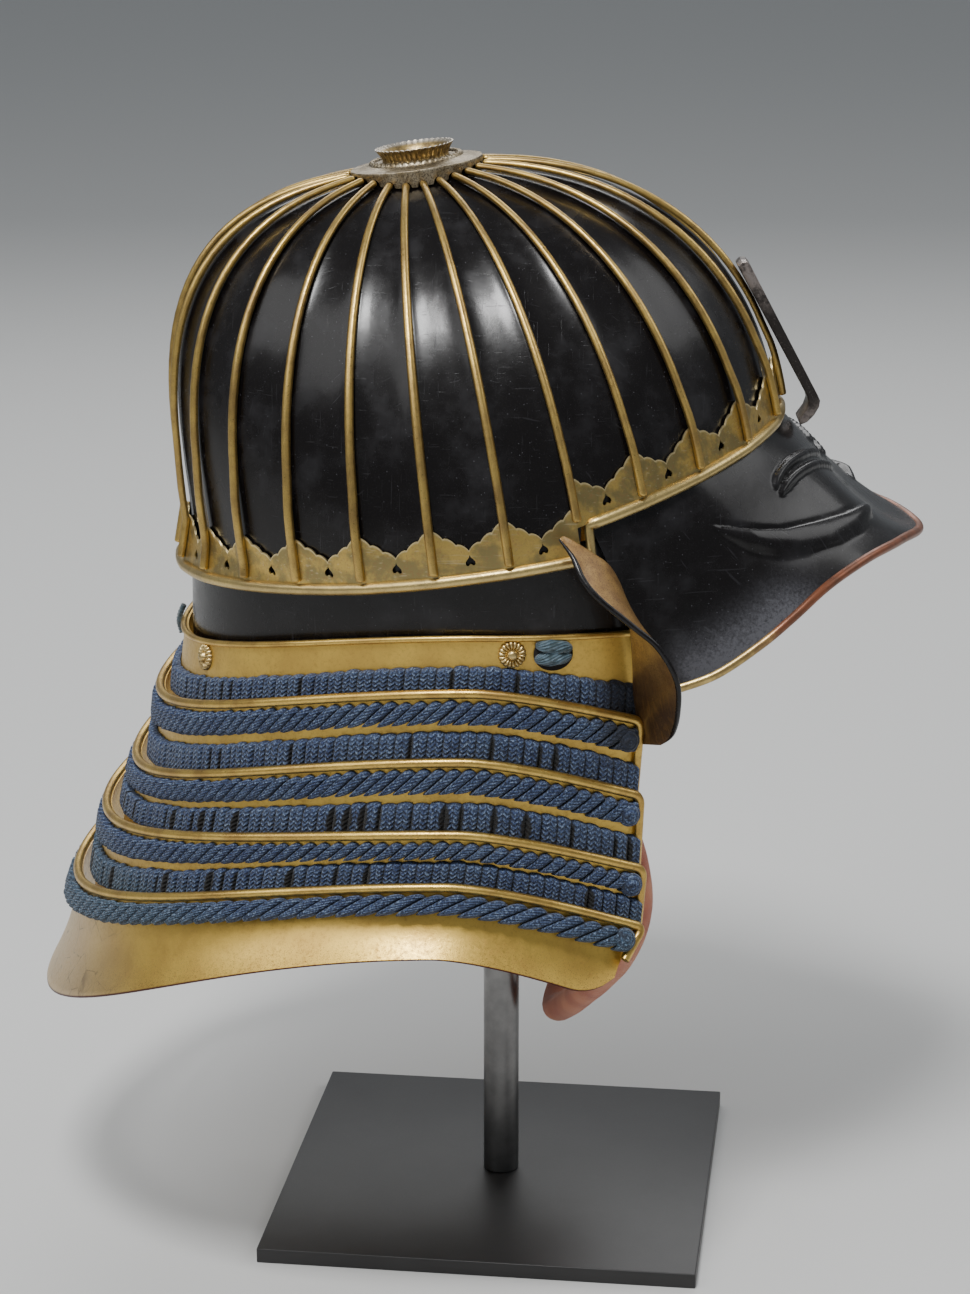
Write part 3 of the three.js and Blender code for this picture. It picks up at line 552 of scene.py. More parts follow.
def hem_band(name, first, panels, edge):
    def strip(u, v):
        place = first + u * panels
        azimuth = round(panel_azimuth(place % 26), 4)
        if edge == "front" and abs(azimuth - TEMPLE) < 0.01:
            azimuth = TEMPLE - 0.3
        high = scallop(place)
        return on_bowl(azimuth, rim_polar(azimuth, edge, round(0.6 + (high - 0.6) * v, 3)), BAND_LIFT)

    band = grid(name, panels * 30, 12, strip, outward=heart_of_bowl)
    apply(band, "SOLIDIFY", thickness=0.7 * mm, offset=-1)
    azimuths = [panel_azimuth((first + i + 0.5) % 26) for i in range(panels)]
    cutter = join([heart_cutter(round(a, 4), edge) for a in azimuths])
    apply(band, "BOOLEAN", operation="DIFFERENCE", solver="EXACT", object=cutter)
    bpy.data.objects.remove(cutter)
    count = panels * 12
    line = []
    for i in range(count + 1):
        azimuth = round(panel_azimuth((first + panels * i / count) % 26), 4)
        line.append(on_bowl(azimuth, rim_polar(azimuth, edge),
                            0.9 + dish(azimuth if azimuth <= 180 else azimuth - 360) * 0.8))
    return band, line


band_gilt = Finish("hem band gilding")
band_place = band_gilt.place((0.1, 0.1, 0.1))
band_uv = band_gilt.uv()
high = band_gilt.part(band_uv, 1)
band_cloud = band_gilt.noise(band_place, 1.1, 5, 0.6)
band_fine = band_gilt.noise(band_place, 11, 4, 0.7)
band_scratch = band_gilt.noise(band_gilt.place((0.02, 0.9, 0.9), (0.2, 0.3, 0.5)), 1.2, 2, 0.5)
band_tone = band_gilt.mix(band_cloud.rise(0.4, 0.6), (0.58, 0.41, 0.12), (0.30, 0.24, 0.10))
band_tone = band_gilt.mix(band_fine.rise(0.48, 0.7) * 0.55, band_tone, (0.36, 0.19, 0.09))
band_tone = band_gilt.mix(band_scratch.rise(0.6, 0.72) * 0.4, band_tone, (0.66, 0.56, 0.34))
band_tone = band_gilt.mix(high.rise(0.93, 0.99) * 0.8, band_tone, (0.80, 0.66, 0.36))
band_gilt.set(Base_Color=band_tone, Metallic=0.92, Roughness=0.3 + band_fine.rise(0.3, 0.8) * 0.2,
              Normal=band_gilt.bump(band_cloud * 2 + band_fine * 0.4, 0.06))
roll_gilt = gilt_finish("rolled edge gilding", (0.66, 0.50, 0.20), (0.44, 0.33, 0.15), 0.8)

band, roll_line = hem_band("hem_band_rear_strip", 5, 16, "rear")
roll = tube("hem_roll_rear", roll_line, ROLL, 16)
done(band, band_gilt, "gilt_copper", "hem_band_rear", angle=35)
done(roll, roll_gilt, "gilt_copper", angle=80)

band, roll_line = hem_band("hem_band_front_strip", 21, 10, "front")
leg_down = [0, 1.2, 3, 6, 9, 12.2]


def leg(sign):
    """The roll turned down at a temple, a little narrower."""
    azimuth = (TEMPLE - 2.3) * sign % 360
    return [on_bowl(round(azimuth + sign * d * 0.02, 4), rim_polar(round(azimuth, 4), "front", -d),
                    0.9) for d in leg_down]


right_leg, left_leg = leg(-1), leg(1)
inner = [p for p in roll_line if p.x > right_leg[0].x + 1.0]
front_line = right_leg[::-1] + inner + left_leg
roll = tube("hem_roll_front", front_line,
            lambda u: ROLL - 0.5 * (min(u, 1 - u) < 5 / (len(front_line) - 1)), 16)
done(band, band_gilt, "gilt_copper", "hem_band_front", angle=35)
done(roll, roll_gilt, "gilt_copper", angle=80)


# ---------- waistband ----------
# The plain black lacquered wall between the bowl and the first lame of the neck guard.
WAIST = {"lift": -3.0, "thick": 1.5, "from": 53, "back_z": 229, "side_z": 252, "back_x": -121, "side_x": -30}


def waist_skin(u, v):
    azimuth = round(WAIST["from"] + (360 - 2 * WAIST["from"]) * u, 4)
    top = on_bowl(azimuth, rim_polar(azimuth, "rear", 5.5), WAIST["lift"] + 0.3, 0)
    foot = on_bowl(azimuth, rim_polar(azimuth, "rear"), WAIST["lift"], 0)
    share = min(max((foot.x - WAIST["back_x"]) / (WAIST["side_x"] - WAIST["back_x"]), 0), 1)
    foot.z = WAIST["back_z"] + (WAIST["side_z"] - WAIST["back_z"]) * share
    return top.lerp(foot, v)


waist = grid("waistband_wall", 140, 8, waist_skin, outward=heart_of_bowl)
apply(waist, "SOLIDIFY", thickness=WAIST["thick"] * mm, offset=-1)
done(waist, black_lacquer, "black_lacquer", "waistband", angle=60)


# ---------- visor ----------
# A raised iron peak, black lacquered, worked with a pair of brow wrinkles and the long
# fold of an eyelid on each side, as on masks of the kind.
VISOR = [
    {"azimuth": 0, "lip": (158.5, 0, 276), "bow": -4.5},
    {"azimuth": 12, "lip": (147.5, 35, 280), "bow": -1},
    {"azimuth": 23, "lip": (133, 59, 279.5), "bow": -3},
    {"azimuth": 33, "lip": (117, 77, 274), "bow": -3},
    {"azimuth": 42, "lip": (103, 88, 264.5), "bow": -2},
    {"azimuth": 50, "lip": (91, 94, 256), "bow": -1.5},
    {"azimuth": 56.5, "lip": (75, 99, 246.5), "bow": -1},
    {"azimuth": 63.6, "lip": (58.5, 101, 241), "bow": 0},
]
# Lines of the worked relief on one side: s is 0 at the end of the lip and 0.5 in front,
# v runs from the rim of the bowl to the lip.
WRINKLES = [
    [(0.334, 0.290), (0.348, 0.250), (0.382, 0.220), (0.428, 0.240), (0.476, 0.300)],
    [(0.334, 0.350), (0.352, 0.322), (0.385, 0.305), (0.425, 0.330), (0.476, 0.405)],
]
LID = [
    {"s": 0.195, "crease": 0.26, "foot": 0.30},
    {"s": 0.228, "crease": 0.35, "foot": 0.54},
    {"s": 0.260, "crease": 0.45, "foot": 0.68},
    {"s": 0.297, "crease": 0.55, "foot": 0.78},
    {"s": 0.343, "crease": 0.62, "foot": 0.85},
    {"s": 0.388, "crease": 0.68, "foot": 0.85},
    {"s": 0.425, "crease": 0.70, "foot": 0.81},
    {"s": 0.458, "crease": 0.71, "foot": 0.73},
]
visor_sides = [(-1, row) for row in VISOR[:0:-1]] + [(1, row) for row in VISOR]
visor_tops = [
    on_bowl(side * row["azimuth"] % 360, rim_polar(side * row["azimuth"] % 360, "front", -ROLL - 0.3), 0.9)
    for side, row in visor_sides]
visor_lips = [Vector((row["lip"][0], side * row["lip"][1], row["lip"][2])) for side, row in visor_sides]
visor_bows = [row["bow"] for _, row in visor_sides]
wrinkle_lines = [[through([Vector((*p, 0)) for p in line], i / 30) for i in range(31)] for line in WRINKLES]


@lru_cache(None)
def visor_column(u):
    """Upper edge, lip, outward direction and bow of the visor at a share of its width."""
    top, lip = through(visor_tops, u), through(visor_lips, u)
    near, far = (through(visor_tops, w).lerp(through(visor_lips, w), 0.5)
                 for w in (max(u - 0.015, 0), min(u + 0.015, 1)))
    out = (far - near).cross(lip - top).normalized()
    if out.dot(top.lerp(lip, 0.5) - Vector((20, 0, 260))) < 0:
        out.negate()
    return top, lip, out, through(visor_bows, u)


def between(rows, name, key, place):
    """Value of a column of a table where another column has a given value."""
    for low, high in zip(rows, rows[1:]):
        if place <= high[key]:
            share = max(place - low[key], 0) / (high[key] - low[key])
            return low[name] + (high[name] - low[name]) * share
    return rows[-1][name]


def wrinkle(s, v):
    if not (0.32 < s < 0.485 and 0.12 < v < 0.48):
        return 0
    high = 0
    for line in wrinkle_lines:
        apart = min((math.hypot((s - p.x) * 300, (v - p.y) * 58), i) for i, p in enumerate(line))
        size = 2.15 * min(1, 0.5 + apart[1] / 14)
        ending = min(1, (31 - apart[1]) / 2) * min(1, max(0.484 - s, 0) / 0.014)
        high = max(high, 0.9 * size * ending * max(1 - (apart[0] / size) ** 2, 0))
    return high


def eyelid(s, v):
    if not LID[0]["s"] < s < LID[-1]["s"]:
        return 0
    crease, foot = between(LID, "crease", "s", s), between(LID, "foot", "s", s)
    t = (v - crease) / (foot - crease)
    ends = min((s - LID[0]["s"]) / 0.05, (LID[-1]["s"] - s) / 0.03, 1)
    if t < 0:
        return -0.55 * ends * math.exp(-((v - crease) / 0.03) ** 2)
    body = 2.9 * math.sin(math.pi * min(0.18 + 0.82 * t, 1)) ** 0.8
    lip = 0.4 * math.exp(-((t - 1.0) / 0.09) ** 2)
    return ends * (body + lip - 0.55 * math.exp(-((v - crease) / 0.012) ** 2))


def visor_skin(u, v, lift=0.0):
    top, lip, out, bow = visor_column(u)
    s = 0.5 - abs(u - 0.5)
    curl = 1.5 * max((v - 0.84) / 0.16, 0) ** 2 * max(1 - ((0.5 - s) / 0.07) ** 2, 0)
    swell = bow * math.sin(math.pi * v ** 1.35) + wrinkle(s, v) + eyelid(s, v) + curl
    return top.lerp(lip, v) + out * (swell + lift)


def visor_painted_sheen(made):
    """Painted sheen: pale grey along the lower edge at each side, broken up by a grain."""
    place = made.uv()
    along = 0.5 - (made.part(place, 0) - 0.5).maths("ABSOLUTE")
    # worn is the mask of the painted sheen: the lower edge at each side.
    worn = made.part(place, 1).rise(0.55, 1.02) * along.rise(0.0, 0.05) * along.rise(0.34, 0.2)
    grain = made.noise(made.place((0.9, 0.9, 0.9)), 1, 6, 0.75).rise(0.25, 0.75)
    return worn * worn * (grain * 1.3 + 0.35)


visor = grid("visor_plate", 380, 96, visor_skin, outward=heart_of_bowl)
apply(visor, "SOLIDIFY", thickness=1.8 * mm, offset=-1)
# The visor lacquer carries pale grey painted sheen along its lower edge at each side.
visor_lacquer = lacquer_finish("visor lacquer", 0.6, visor_painted_sheen)
done(visor, visor_lacquer, "black_lacquer", "visor", angle=60)


# ---------- visor rim ----------
# A half-round strip along the lip of the visor: gilt at the sides, and in front worn down
# to the red brown ground.
def lip_centre(u):
    lip, above = visor_skin(u, 1, -0.9), visor_skin(u, 0.9, -0.9)
    return lip + (lip - above).normalized() * 1.6


visor_rim = tube("visor_lip_strip", [lip_centre(i / 200) for i in range(201)], 1.8, 16)
rim_finish = Finish("visor rim")
rim_place = rim_finish.place((0.1, 0.1, 0.1))
rim_along = rim_finish.part(rim_finish.uv(), 0)
rim_side = 0.5 - (rim_along - 0.5).maths("ABSOLUTE")
rim_cloud = rim_finish.noise(rim_place, 1.6, 5, 0.65)
rim_red = (rim_side + rim_cloud * 0.09).rise(0.155, 0.24)
rim_gold = rim_finish.mix(rim_cloud.rise(0.35, 0.65), (0.60, 0.44, 0.17), (0.34, 0.24, 0.10))
rim_brown = rim_finish.mix(rim_cloud.rise(0.3, 0.7), (0.25, 0.085, 0.04), (0.13, 0.055, 0.03))
rim_finish.set(Base_Color=rim_finish.mix(rim_red, rim_gold, rim_brown), Metallic=0.9 - rim_red * 0.45,
               Roughness=0.27 + rim_cloud * 0.15, Normal=rim_finish.bump(rim_cloud, 0.05))
done(visor_rim, rim_finish, "red_lacquer", "visor_rim", angle=80)


# ---------- crest holder ----------
# A tongue of dark iron rising from the rim in front, hooked at the foot, that once held a
# crest. Its edges and top are rubbed bright.
CREST = [
    (113.2, 316.6), (115.8, 317.7), (118.4, 320.4), (120.2, 323.6), (120.5, 326),
    (119.6, 328), (106.4, 352.4),
    (92.9, 377.6), (91.6, 379.1), (89.6, 379), (88.0, 377.4), (101.9, 352.4),
    (115.6, 327.6), (116.1, 325.6), (115.2, 322.6),
    (112.4, 318.6),
]
CREST_WIDE = 13
bpy.ops.object.select_all(action="DESELECT")
bpy.ops.mesh.primitive_circle_add(vertices=len(CREST), radius=1, fill_type="NGON")
crest = bpy.context.object
crest.name = crest.data.name = "crest_tongue"
for vertex, (x, z) in zip(crest.data.vertices, CREST):
    vertex.co = Vector((x, -CREST_WIDE / 2, z)) * mm
bpy.ops.object.mode_set(mode="EDIT")
bpy.ops.mesh.select_all(action="SELECT")
bpy.ops.mesh.extrude_region_move(TRANSFORM_OT_translate={"value": (0, CREST_WIDE * mm, 0)})
bpy.ops.mesh.select_all(action="SELECT")
bpy.ops.mesh.normals_make_consistent(inside=False)
bpy.ops.object.mode_set(mode="OBJECT")
apply(crest, "BEVEL", width=0.5 * mm, segments=3, limit_method="ANGLE", angle_limit=math.radians(50))
dark_iron = Finish("rubbed iron")
iron_place = dark_iron.place((0.1, 0.1, 0.1))
iron_cloud = dark_iron.noise(iron_place, 1.6, 6, 0.7)
iron_speck = dark_iron.noise(iron_place, 22, 3, 0.6)
iron_high = dark_iron.part(dark_iron.place(), 2)
iron_worn = (iron_high.rise(356, 378) * 0.9 + iron_high.rise(328, 318) * 0.7) * iron_cloud.rise(0.35, 0.6)
iron_worn = iron_worn + iron_speck.rise(0.6, 0.7) * 0.35
iron_tone = dark_iron.mix(iron_worn, (0.018, 0.014, 0.012), (0.42, 0.36, 0.33))
dark_iron.set(Base_Color=iron_tone, Metallic=0.3 + iron_worn * 0.6, Roughness=0.42 - iron_worn * 0.1,
              Normal=dark_iron.bump(iron_cloud + iron_speck * 0.3, 0.08))
done(crest, dark_iron, "dark_iron", "crest_holder", angle=35)


# ---------- crown fitting ----------
# A dished brass plate with a beaded ring stands on the top of the bowl, its skirt arched
# over the end of every rib. In it sits a small flared cup, fluted outside.
BEADS = 44
FLUTES = 40


def on_fitting(radius, angle, up):
    """A point at a radius, angle and height from the fitting's own leaning axis."""
    forward = FITTING_SHIFT + radius * math.cos(angle)
    return CROWN + Vector((
        forward * math.cos(LEAN) - up * math.sin(LEAN), radius * math.sin(angle),
        forward * math.sin(LEAN) + up * math.cos(LEAN)))


def skirt_foot(angle, radius):
    """Height of the skirt over the bowl, with a round arch at each rib."""
    x, y = FITTING_SHIFT + radius * math.cos(angle), radius * math.sin(angle)
    azimuth = math.degrees(math.atan2(y, x)) % 360
    turned = azimuth if azimuth <= 180 else azimuth - 360
    off = min(abs(abs(turned) - rib) for rib in RIBS)
    arch = 2.2 * math.sqrt(max(1 - (math.radians(off) * math.hypot(x, y) / 1.85) ** 2, 0))
    return meridian(turned, out_polar(round(azimuth, 3), round(math.hypot(x, y), 3)))[1] + 0.2 + arch


def plate_skin(u, v):
    angle = 2 * math.pi * u
    bead = abs(math.sin(BEADS / 2 * angle)) ** 0.6
    foot = skirt_foot(angle, PLATE_RADIUS)
    outline = [
        (10.6, 1.5), (10.6, 3.9), (11.0, 4.25), (12.4, 4.2), (14.8, 4.25),
        (15.3, 4.3), (15.5, 4.5 + 0.3 * bead),
        (16.0, 4.7 + 0.55 * bead), (16.6, 4.8 + 0.65 * bead),
        (17.2, 4.6 + 0.55 * bead), (17.7, 4.3 + 0.3 * bead),
        (17.9, 4.0), (18.5, 3.8), (20.5, 3.2), (22.6, 2.9), (24.2, 3.0),
        (24.7, 2.9), (24.9, 2.5), (24.8, 1.8),
        (24.8, foot + 0.6), (24.8, foot), (24.2, foot), (23.9, foot + 0.6), (23.4, 1.2), (15, 1.4),
    ]
    radius, up = outline[round(v * (len(outline) - 1))]
    return on_fitting(radius, angle, up)


crown_plate = grid("crown_disc", 528, 24, plate_skin, wrap_u=True, outward=None)
brass = Finish("aged brass")
brass_place = brass.place((0.1, 0.1, 0.1))
brass_cloud = brass.noise(brass_place, 2.2, 6, 0.7)
brass_speck = brass.noise(brass_place, 18, 3, 0.65)
brass_tone = brass.mix(brass_cloud.rise(0.35, 0.65), (0.44, 0.38, 0.27), (0.26, 0.20, 0.11))
brass_tone = brass.mix(brass_speck.rise(0.47, 0.6) * 0.8, brass_tone, (0.07, 0.05, 0.035))
brass.set(Base_Color=brass_tone, Metallic=0.9, Roughness=0.34 + brass_speck * 0.15,
          Normal=brass.bump(brass_speck + brass_cloud, 0.04))
done(crown_plate, brass, "aged_brass", "crown_plate", angle=50)


def cup_skin(u, v):
    angle = 2 * math.pi * u
    flute = abs(math.cos(FLUTES / 2 * angle)) ** 0.7
    tooth = 0.45 * flute
    outline = [
        (12.3, 4.1), (12.6, 4.6), (12.2 + 0.25 * flute, 5.1),
        (12.5 + 0.35 * flute, 6.2), (13.1 + 0.4 * flute, 7.4),
        (13.9 + 0.4 * flute, 8.5), (14.5 + 0.3 * flute, 9.0 + tooth), (14.2, 9.1 + tooth), (13.4, 8.6),
        (12.2, 7.6), (11.2, 6.2), (10.7, 4.8), (10.6, 2.2), (11.4, 3.0),
    ]
    radius, up = outline[round(v * len(outline)) % len(outline)]
    return on_fitting(radius, angle, up)


cup = grid("crown_fluted_cup", 480, 14, cup_skin, wrap_u=True, wrap_v=True)
cup_brass = Finish("fluted brass")
cup_up = cup_brass.part(cup_brass.uv(), 1)
cup_cloud = cup_brass.noise(cup_brass.place((0.1, 0.1, 0.1)), 6, 5, 0.65)
cup_tone = cup_brass.mix(cup_cloud.rise(0.35, 0.65), (0.46, 0.33, 0.13), (0.20, 0.14, 0.07))
cup_tone = cup_brass.mix(cup_up.rise(0.38, 0.45) * cup_up.rise(0.62, 0.54), cup_tone, (0.55, 0.50, 0.42))
cup_brass.set(Base_Color=cup_tone, Metallic=0.92, Roughness=0.3 + cup_cloud * 0.15)
done(cup, cup_brass, "aged_brass", "crown_cup", angle=50)


# ---------- neck guard lames ----------
# Five bent plates, each wider than the one above, covered in gold leaf under clear lacquer.
# A rolled edge runs along the top of each and turns down its front ends.
LAMES = [
    {"centre_x": -8, "back": (-122.8, 239), "side": (106.8, 261.5), "front": (49, 260)},
    {"centre_x": -11, "back": (-132.4, 215), "side": (113, 243), "front": (50, 228)},
    {"centre_x": -14, "back": (-142.3, 188), "side": (119.5, 219.5), "front": (50, 201.5)},
    {"centre_x": -17, "back": (-154.6, 168), "side": (127, 195), "front": (51, 176)},
    {"centre_x": -20, "back": (-166.7, 141), "side": (134, 177.5), "front": (51, 156)},
    {"centre_x": -25, "back": (-181.5, 95.5), "side": (146, 154.5), "front": (36, 134.5)},
]
LAME = {"thick": 1.4, "roll": 1.75, "top_roll": 1.2, "tuck": 9, "inset": 5.6, "sag": 2.5, "corner": 3}
RISE = {"rear": 2, "front": 1.57}


def guard_point(k, share, out=0.0):
    """A point of the line round the neck that a lame's top edge follows."""
    row = LAMES[k]
    (back_x, back_z), (side_y, side_z), (front_x, front_z) = row["back"], row["side"], row["front"]
    long = row["centre_x"] - back_x
    angle = math.acos((row["centre_x"] - front_x) / long) * abs(share)
    hand = -1 if share < 0 else 1
    c, s = math.cos(angle), math.sin(angle)
    x = row["centre_x"] - long * c
    rear = max(c, 0) ** RISE["rear"]
    front = max((x - row["centre_x"]) / (front_x - row["centre_x"]), 0) ** RISE["front"]
    z = side_z + (back_z - side_z) * rear + (front_z - side_z) * front
    normal = Vector((-c / long, hand * s / side_y, 0)).normalized()
    return Vector((x, hand * side_y * s, z)) + normal * out


@lru_cache(None)
def lame_frame(k, share):
    """Top point of a lame's face, its outward and downward directions, and its height."""
    hem = k == len(LAMES) - 2
    top = guard_point(k, share)
    foot = guard_point(k + 1, share, 0 if hem else -LAME["inset"])
    if not hem:
        foot.z -= LAME["tuck"]
    down = (foot - top).normalized()
    step = guard_point(k, min(share + 0.02, 1)) - guard_point(k, max(share - 0.02, -1))
    out = step.cross(down).normalized()
    if out.dot(guard_point(k, share, 1) - top) < 0:
        out.negate()
    return top, out, down, (foot - top).length


def on_lame(k, share, lift, drop):
    top, out, down, _ = lame_frame(k, round(share, 5))
    return top + out * lift + down * drop


@lru_cache(None)
def lame_run(k):
    """Distances along a lame's top edge, from its right front end, at even shares."""
    points = [on_lame(k, -1 + i / 150, 0, 6) for i in range(301)]
    run = [0.0]
    for a, b in zip(points, points[1:]):
        run.append(run[-1] + (b - a).length)
    return run


def share_at(k, distance):
    run = lame_run(k)
    distance = min(max(distance, 0), run[-1])
    low, high = 0, 300
    while high - low > 1:
        middle = (low + high) // 2
        low, high = (middle, high) if run[middle] <= distance else (low, middle)
    return -1 + (low + (distance - run[low]) / (run[high] - run[low])) / 150


def lame_skin(k):
    hem = k == len(LAMES) - 2
    thick, run = LAME["thick"], lame_run(k)[-1]
    profile = ([(0.0, -thick), (0.0, 0.0)] + [(i / 14, 0.0) for i in range(1, 14)]
               + [(0.985, 0.0), (1.0, -0.35), (1.0, -thick + 0.35), (0.985, -thick)]
               + [(i / 14, -thick) for i in range(13, 0, -1)])
    corner = 14

    def skin(u, v):
        distance = 0.9 + (run - 1.8) * u
        share = share_at(k, distance)
        t, lift = profile[round(v * len(profile)) % len(profile)]
        length = lame_frame(k, round(share, 5))[3]
        if hem:
            lift -= LAME["sag"] * math.sin(math.pi * t)
            short = max(corner - min(distance, run - distance), 0)
            length -= corner - math.sqrt(corner**2 - short**2)
        lift += 0.12 * noise.noise(Vector((share * 9, k * 3.1, t * 2)))
        return on_lame(k, share, lift, t * length)

    return grid(f"lame_plate_{k + 1}", 240, len(profile), skin, wrap_v=True)


def lame_roll(k):
    """The rolled edge: along the top and, below the first lame, down both front ends."""
    run, size = lame_run(k)[-1], LAME["top_roll"] if k == 0 else LAME["roll"]
    corner = LAME["corner"] if k else 0.6
    hem = k == len(LAMES) - 2
    fall = (14 if hem else lame_frame(k, 1.0)[3] * 0.75) if k else 2.0
    half = []
    for i in range(10, 0, -1):
        half.append((1.2, 0.5 + corner + (fall - corner) * i / 10))
    for i in range(7):
        a = math.pi / 2 * i / 6
        half.append((1.2 + corner * (1 - math.cos(a)), 0.5 + corner * (1 - math.sin(a))))
    middle = [(1.2 + corner + (run - 2.4 - 2 * corner) * i / 200, 0.5) for i in range(1, 200)]
    path = half + middle + [(run - d, drop) for d, drop in half[::-1]]
    line = [on_lame(k, share_at(k, d), 0.35 * size, drop) for d, drop in path]
    return tube(f"lame_roll_{k + 1}", line, size, 14)


def leaf_finish(name):
    """Gold leaf under clear lacquer, with fine dark pits and a dark red worn lower edge."""
    made = Finish(name, Coat_Weight=0.12, Coat_Roughness=0.2)
    place = made.place((0.1, 0.1, 0.1))
    cloud = made.noise(place, 0.55, 5, 0.6)
    fine = made.noise(place, 7, 5, 0.7)
    pits = made.noise(place, 30, 2, 0.6)
    across = made.part(made.uv(), 1)
    low = across.rise(0.24, 0.47)
    tone = made.mix(cloud.rise(0.35, 0.68), (0.74, 0.49, 0.105), (0.60, 0.38, 0.085))
    tone = made.mix(fine.rise(0.5, 0.7) * (0.3 + low * 0.35), tone, (0.34, 0.18, 0.045))
    tone = made.mix(pits.rise(0.58, 0.66) * (low * 0.75 + 0.12), tone, (0.05, 0.025, 0.015))
    spot = made.place()
    pale = made.part(spot, 0).rise(-128, -168) * made.part(spot, 2).rise(160, 130)
    cracks = made.cells(place, 0.9,
                        "DISTANCE_TO_EDGE").rise(0.03, 0.0) * made.noise(place, 1.3, 3, 0.6).rise(0.45, 0.6)
    tone = made.mix(pale * 0.7, tone, (0.62, 0.47, 0.29))
    tone = made.mix(pale * cracks * 0.7, tone, (0.20, 0.13, 0.08))
    tone = made.mix(across.rise(0.462, 0.475) * across.rise(0.6, 0.57), tone, (0.07, 0.014, 0.010))
    made.set(Base_Color=tone, Metallic=0.85, Roughness=0.34 + fine.rise(0.3, 0.8) * 0.18,
             Normal=made.bump(fine + cloud * 3, 0.05))
    return made


gold_leaf = leaf_finish("gold leaf lacquer")
edge_gilt = gilt_finish("rolled edges", (0.74, 0.50, 0.13), (0.46, 0.28, 0.08), 0.9)
for k in range(len(LAMES) - 1):
    done(lame_skin(k), gold_leaf, "gold_lacquer", f"lame_{k + 1}", angle=40)
    done(lame_roll(k), edge_gilt, "gold_lacquer", angle=80)


# ---------- lacing ----------
# Flat braids of indigo silk that hold the lames together: side by side in an upright row
# above each joint, and crossing slantwise in a row below it, knotted at the front ends.
LACE = {"upright": 0.32, "slanted": 0.39, "thick": 3.1, "below": 2.8, "above": 1.9, "hem_seen": 20}
BRAID = {"upright": 5.7, "slanted": 5.4}


def braid_row(name, k, kind, ends):
    """One row of braids on lame k; ends gives its top and bottom for a visible height."""
    slant = 1 if kind == "slanted" else 0
    pitch, inset = BRAID[kind], 2.4 if slant else 0.3
    run = lame_run(k)[-1] - 2 * inset
    hem = k == len(LAMES) - 2
    count = round((run + 8 * slant) / (pitch * (1.35 if hem else 1)))
    # dark collects, point by point, the painted shade between braids and in the holes where they part.
    dark = []

    def skin(u, v):
        number = min(u * count, count - 0.0001)
        t = number % 1
        cord, side = int(number), abs(2 * t - 1)
        start = number / count * (run + 8 * slant) - 8 * slant
        seen = LACE["hem_seen"] if hem else lame_frame(
                k, round(share_at(k, inset + max(start, 0)), 5))[3] - LAME["tuck"]
        top, foot = ends(seen)
        uneven = noise.noise(Vector((cord * 1.7, k * 5.3, 2.0 * slant)))
        top += (1.5 * side**1.5 if slant else 0.6 * side**2) + 0.9 * uneven
        foot -= 1.9 * slant * (1 - math.sqrt(max(1 - side**2, 0))) - 0.5 * uneven - 1.6 * hem
        toward_back = 1 - abs(2 * number / count - 1)
        loose = 3.2 * noise.noise(
                Vector((int(number + 0.5) * 2.3, k * 3.7, 9))) + 0.17 * k + 0.55 * toward_back - 0.05
        parted = 0.3 if slant else min(max(loose, 0), 1)
        distance = min(max(start + slant * (foot - top) * v, 0), run)
        near_end = min(v, 1 - v) * (foot - top)
        round_end = math.sqrt(1 - max(1 - near_end / 1.5, 0) ** 2)
        round_side = math.sqrt(max(1 - side**3.2, 0)) if slant else 1 - (
                0.34 + 0.64 * parted) * side ** (6 - 2 * parted)
        groove = 0.28 * math.exp(-((side / 0.16) ** 2))
        lift = 0.4 + (
                LACE["thick"] + 0.35 * uneven) * round_end * (0.3 + 0.7 * round_side) - groove * round_end
        lift *= min(1, (min(distance, run - distance) + 2.2) / 3.4)
        gaping = min(max(5 * noise.noise(Vector((int(number + 0.5) * 1.9, k * 2.1, 4))), 0), 1) * k / 3
        hole = (0.42 + 0.42 * gaping) * max(parted - 0.55, 0) * 2.2 * (4 * v * (1 - v)) ** 0.5
        # Painted shade: near-black along each cord's sides, and black where braids part, standing for the
        # shade between them and in the holes.
        dark.append(max(0.75 * side**11, min(1, max(side - 1 + hole, 0) * 14)))
        return on_lame(k, share_at(k, inset + distance), lift, top + (foot - top) * v)

    row = grid(name, count * 10, 12, skin, outward=(-20, 0, 200))
    for loop in row.data.uv_layers.active.data:
        loop.uv = (loop.uv[0] * count, loop.uv[1])
    gap = row.data.attributes.new("gap", "FLOAT", "POINT")
    for value, share in zip(gap.data, dark):
        value.value = share
    return row


def end_knot(k, hand, seen):
    """The flat round knob in which a slanted row ends at the front."""
    run = lame_run(k)[-1]
    distance = run - 6.2 if hand > 0 else 6.2
    share = share_at(k, distance)
    drop = LACE["below"] + LACE["slanted"] * seen * 0.55
    top, out, down, _ = lame_frame(k, round(share, 5))
    bpy.ops.object.select_all(action="DESELECT")
    bpy.ops.mesh.primitive_uv_sphere_add(segments=28, ring_count=14, radius=1)
    knob = bpy.context.object
    side = out.cross(down)
    for vertex in knob.data.vertices:
        x, y, z = vertex.co
        vertex.co = (on_lame(k, share, 1.8, drop) + side * x * 4.3 + down * y * 4.4 + out * z * 3.1) * mm
    return knob


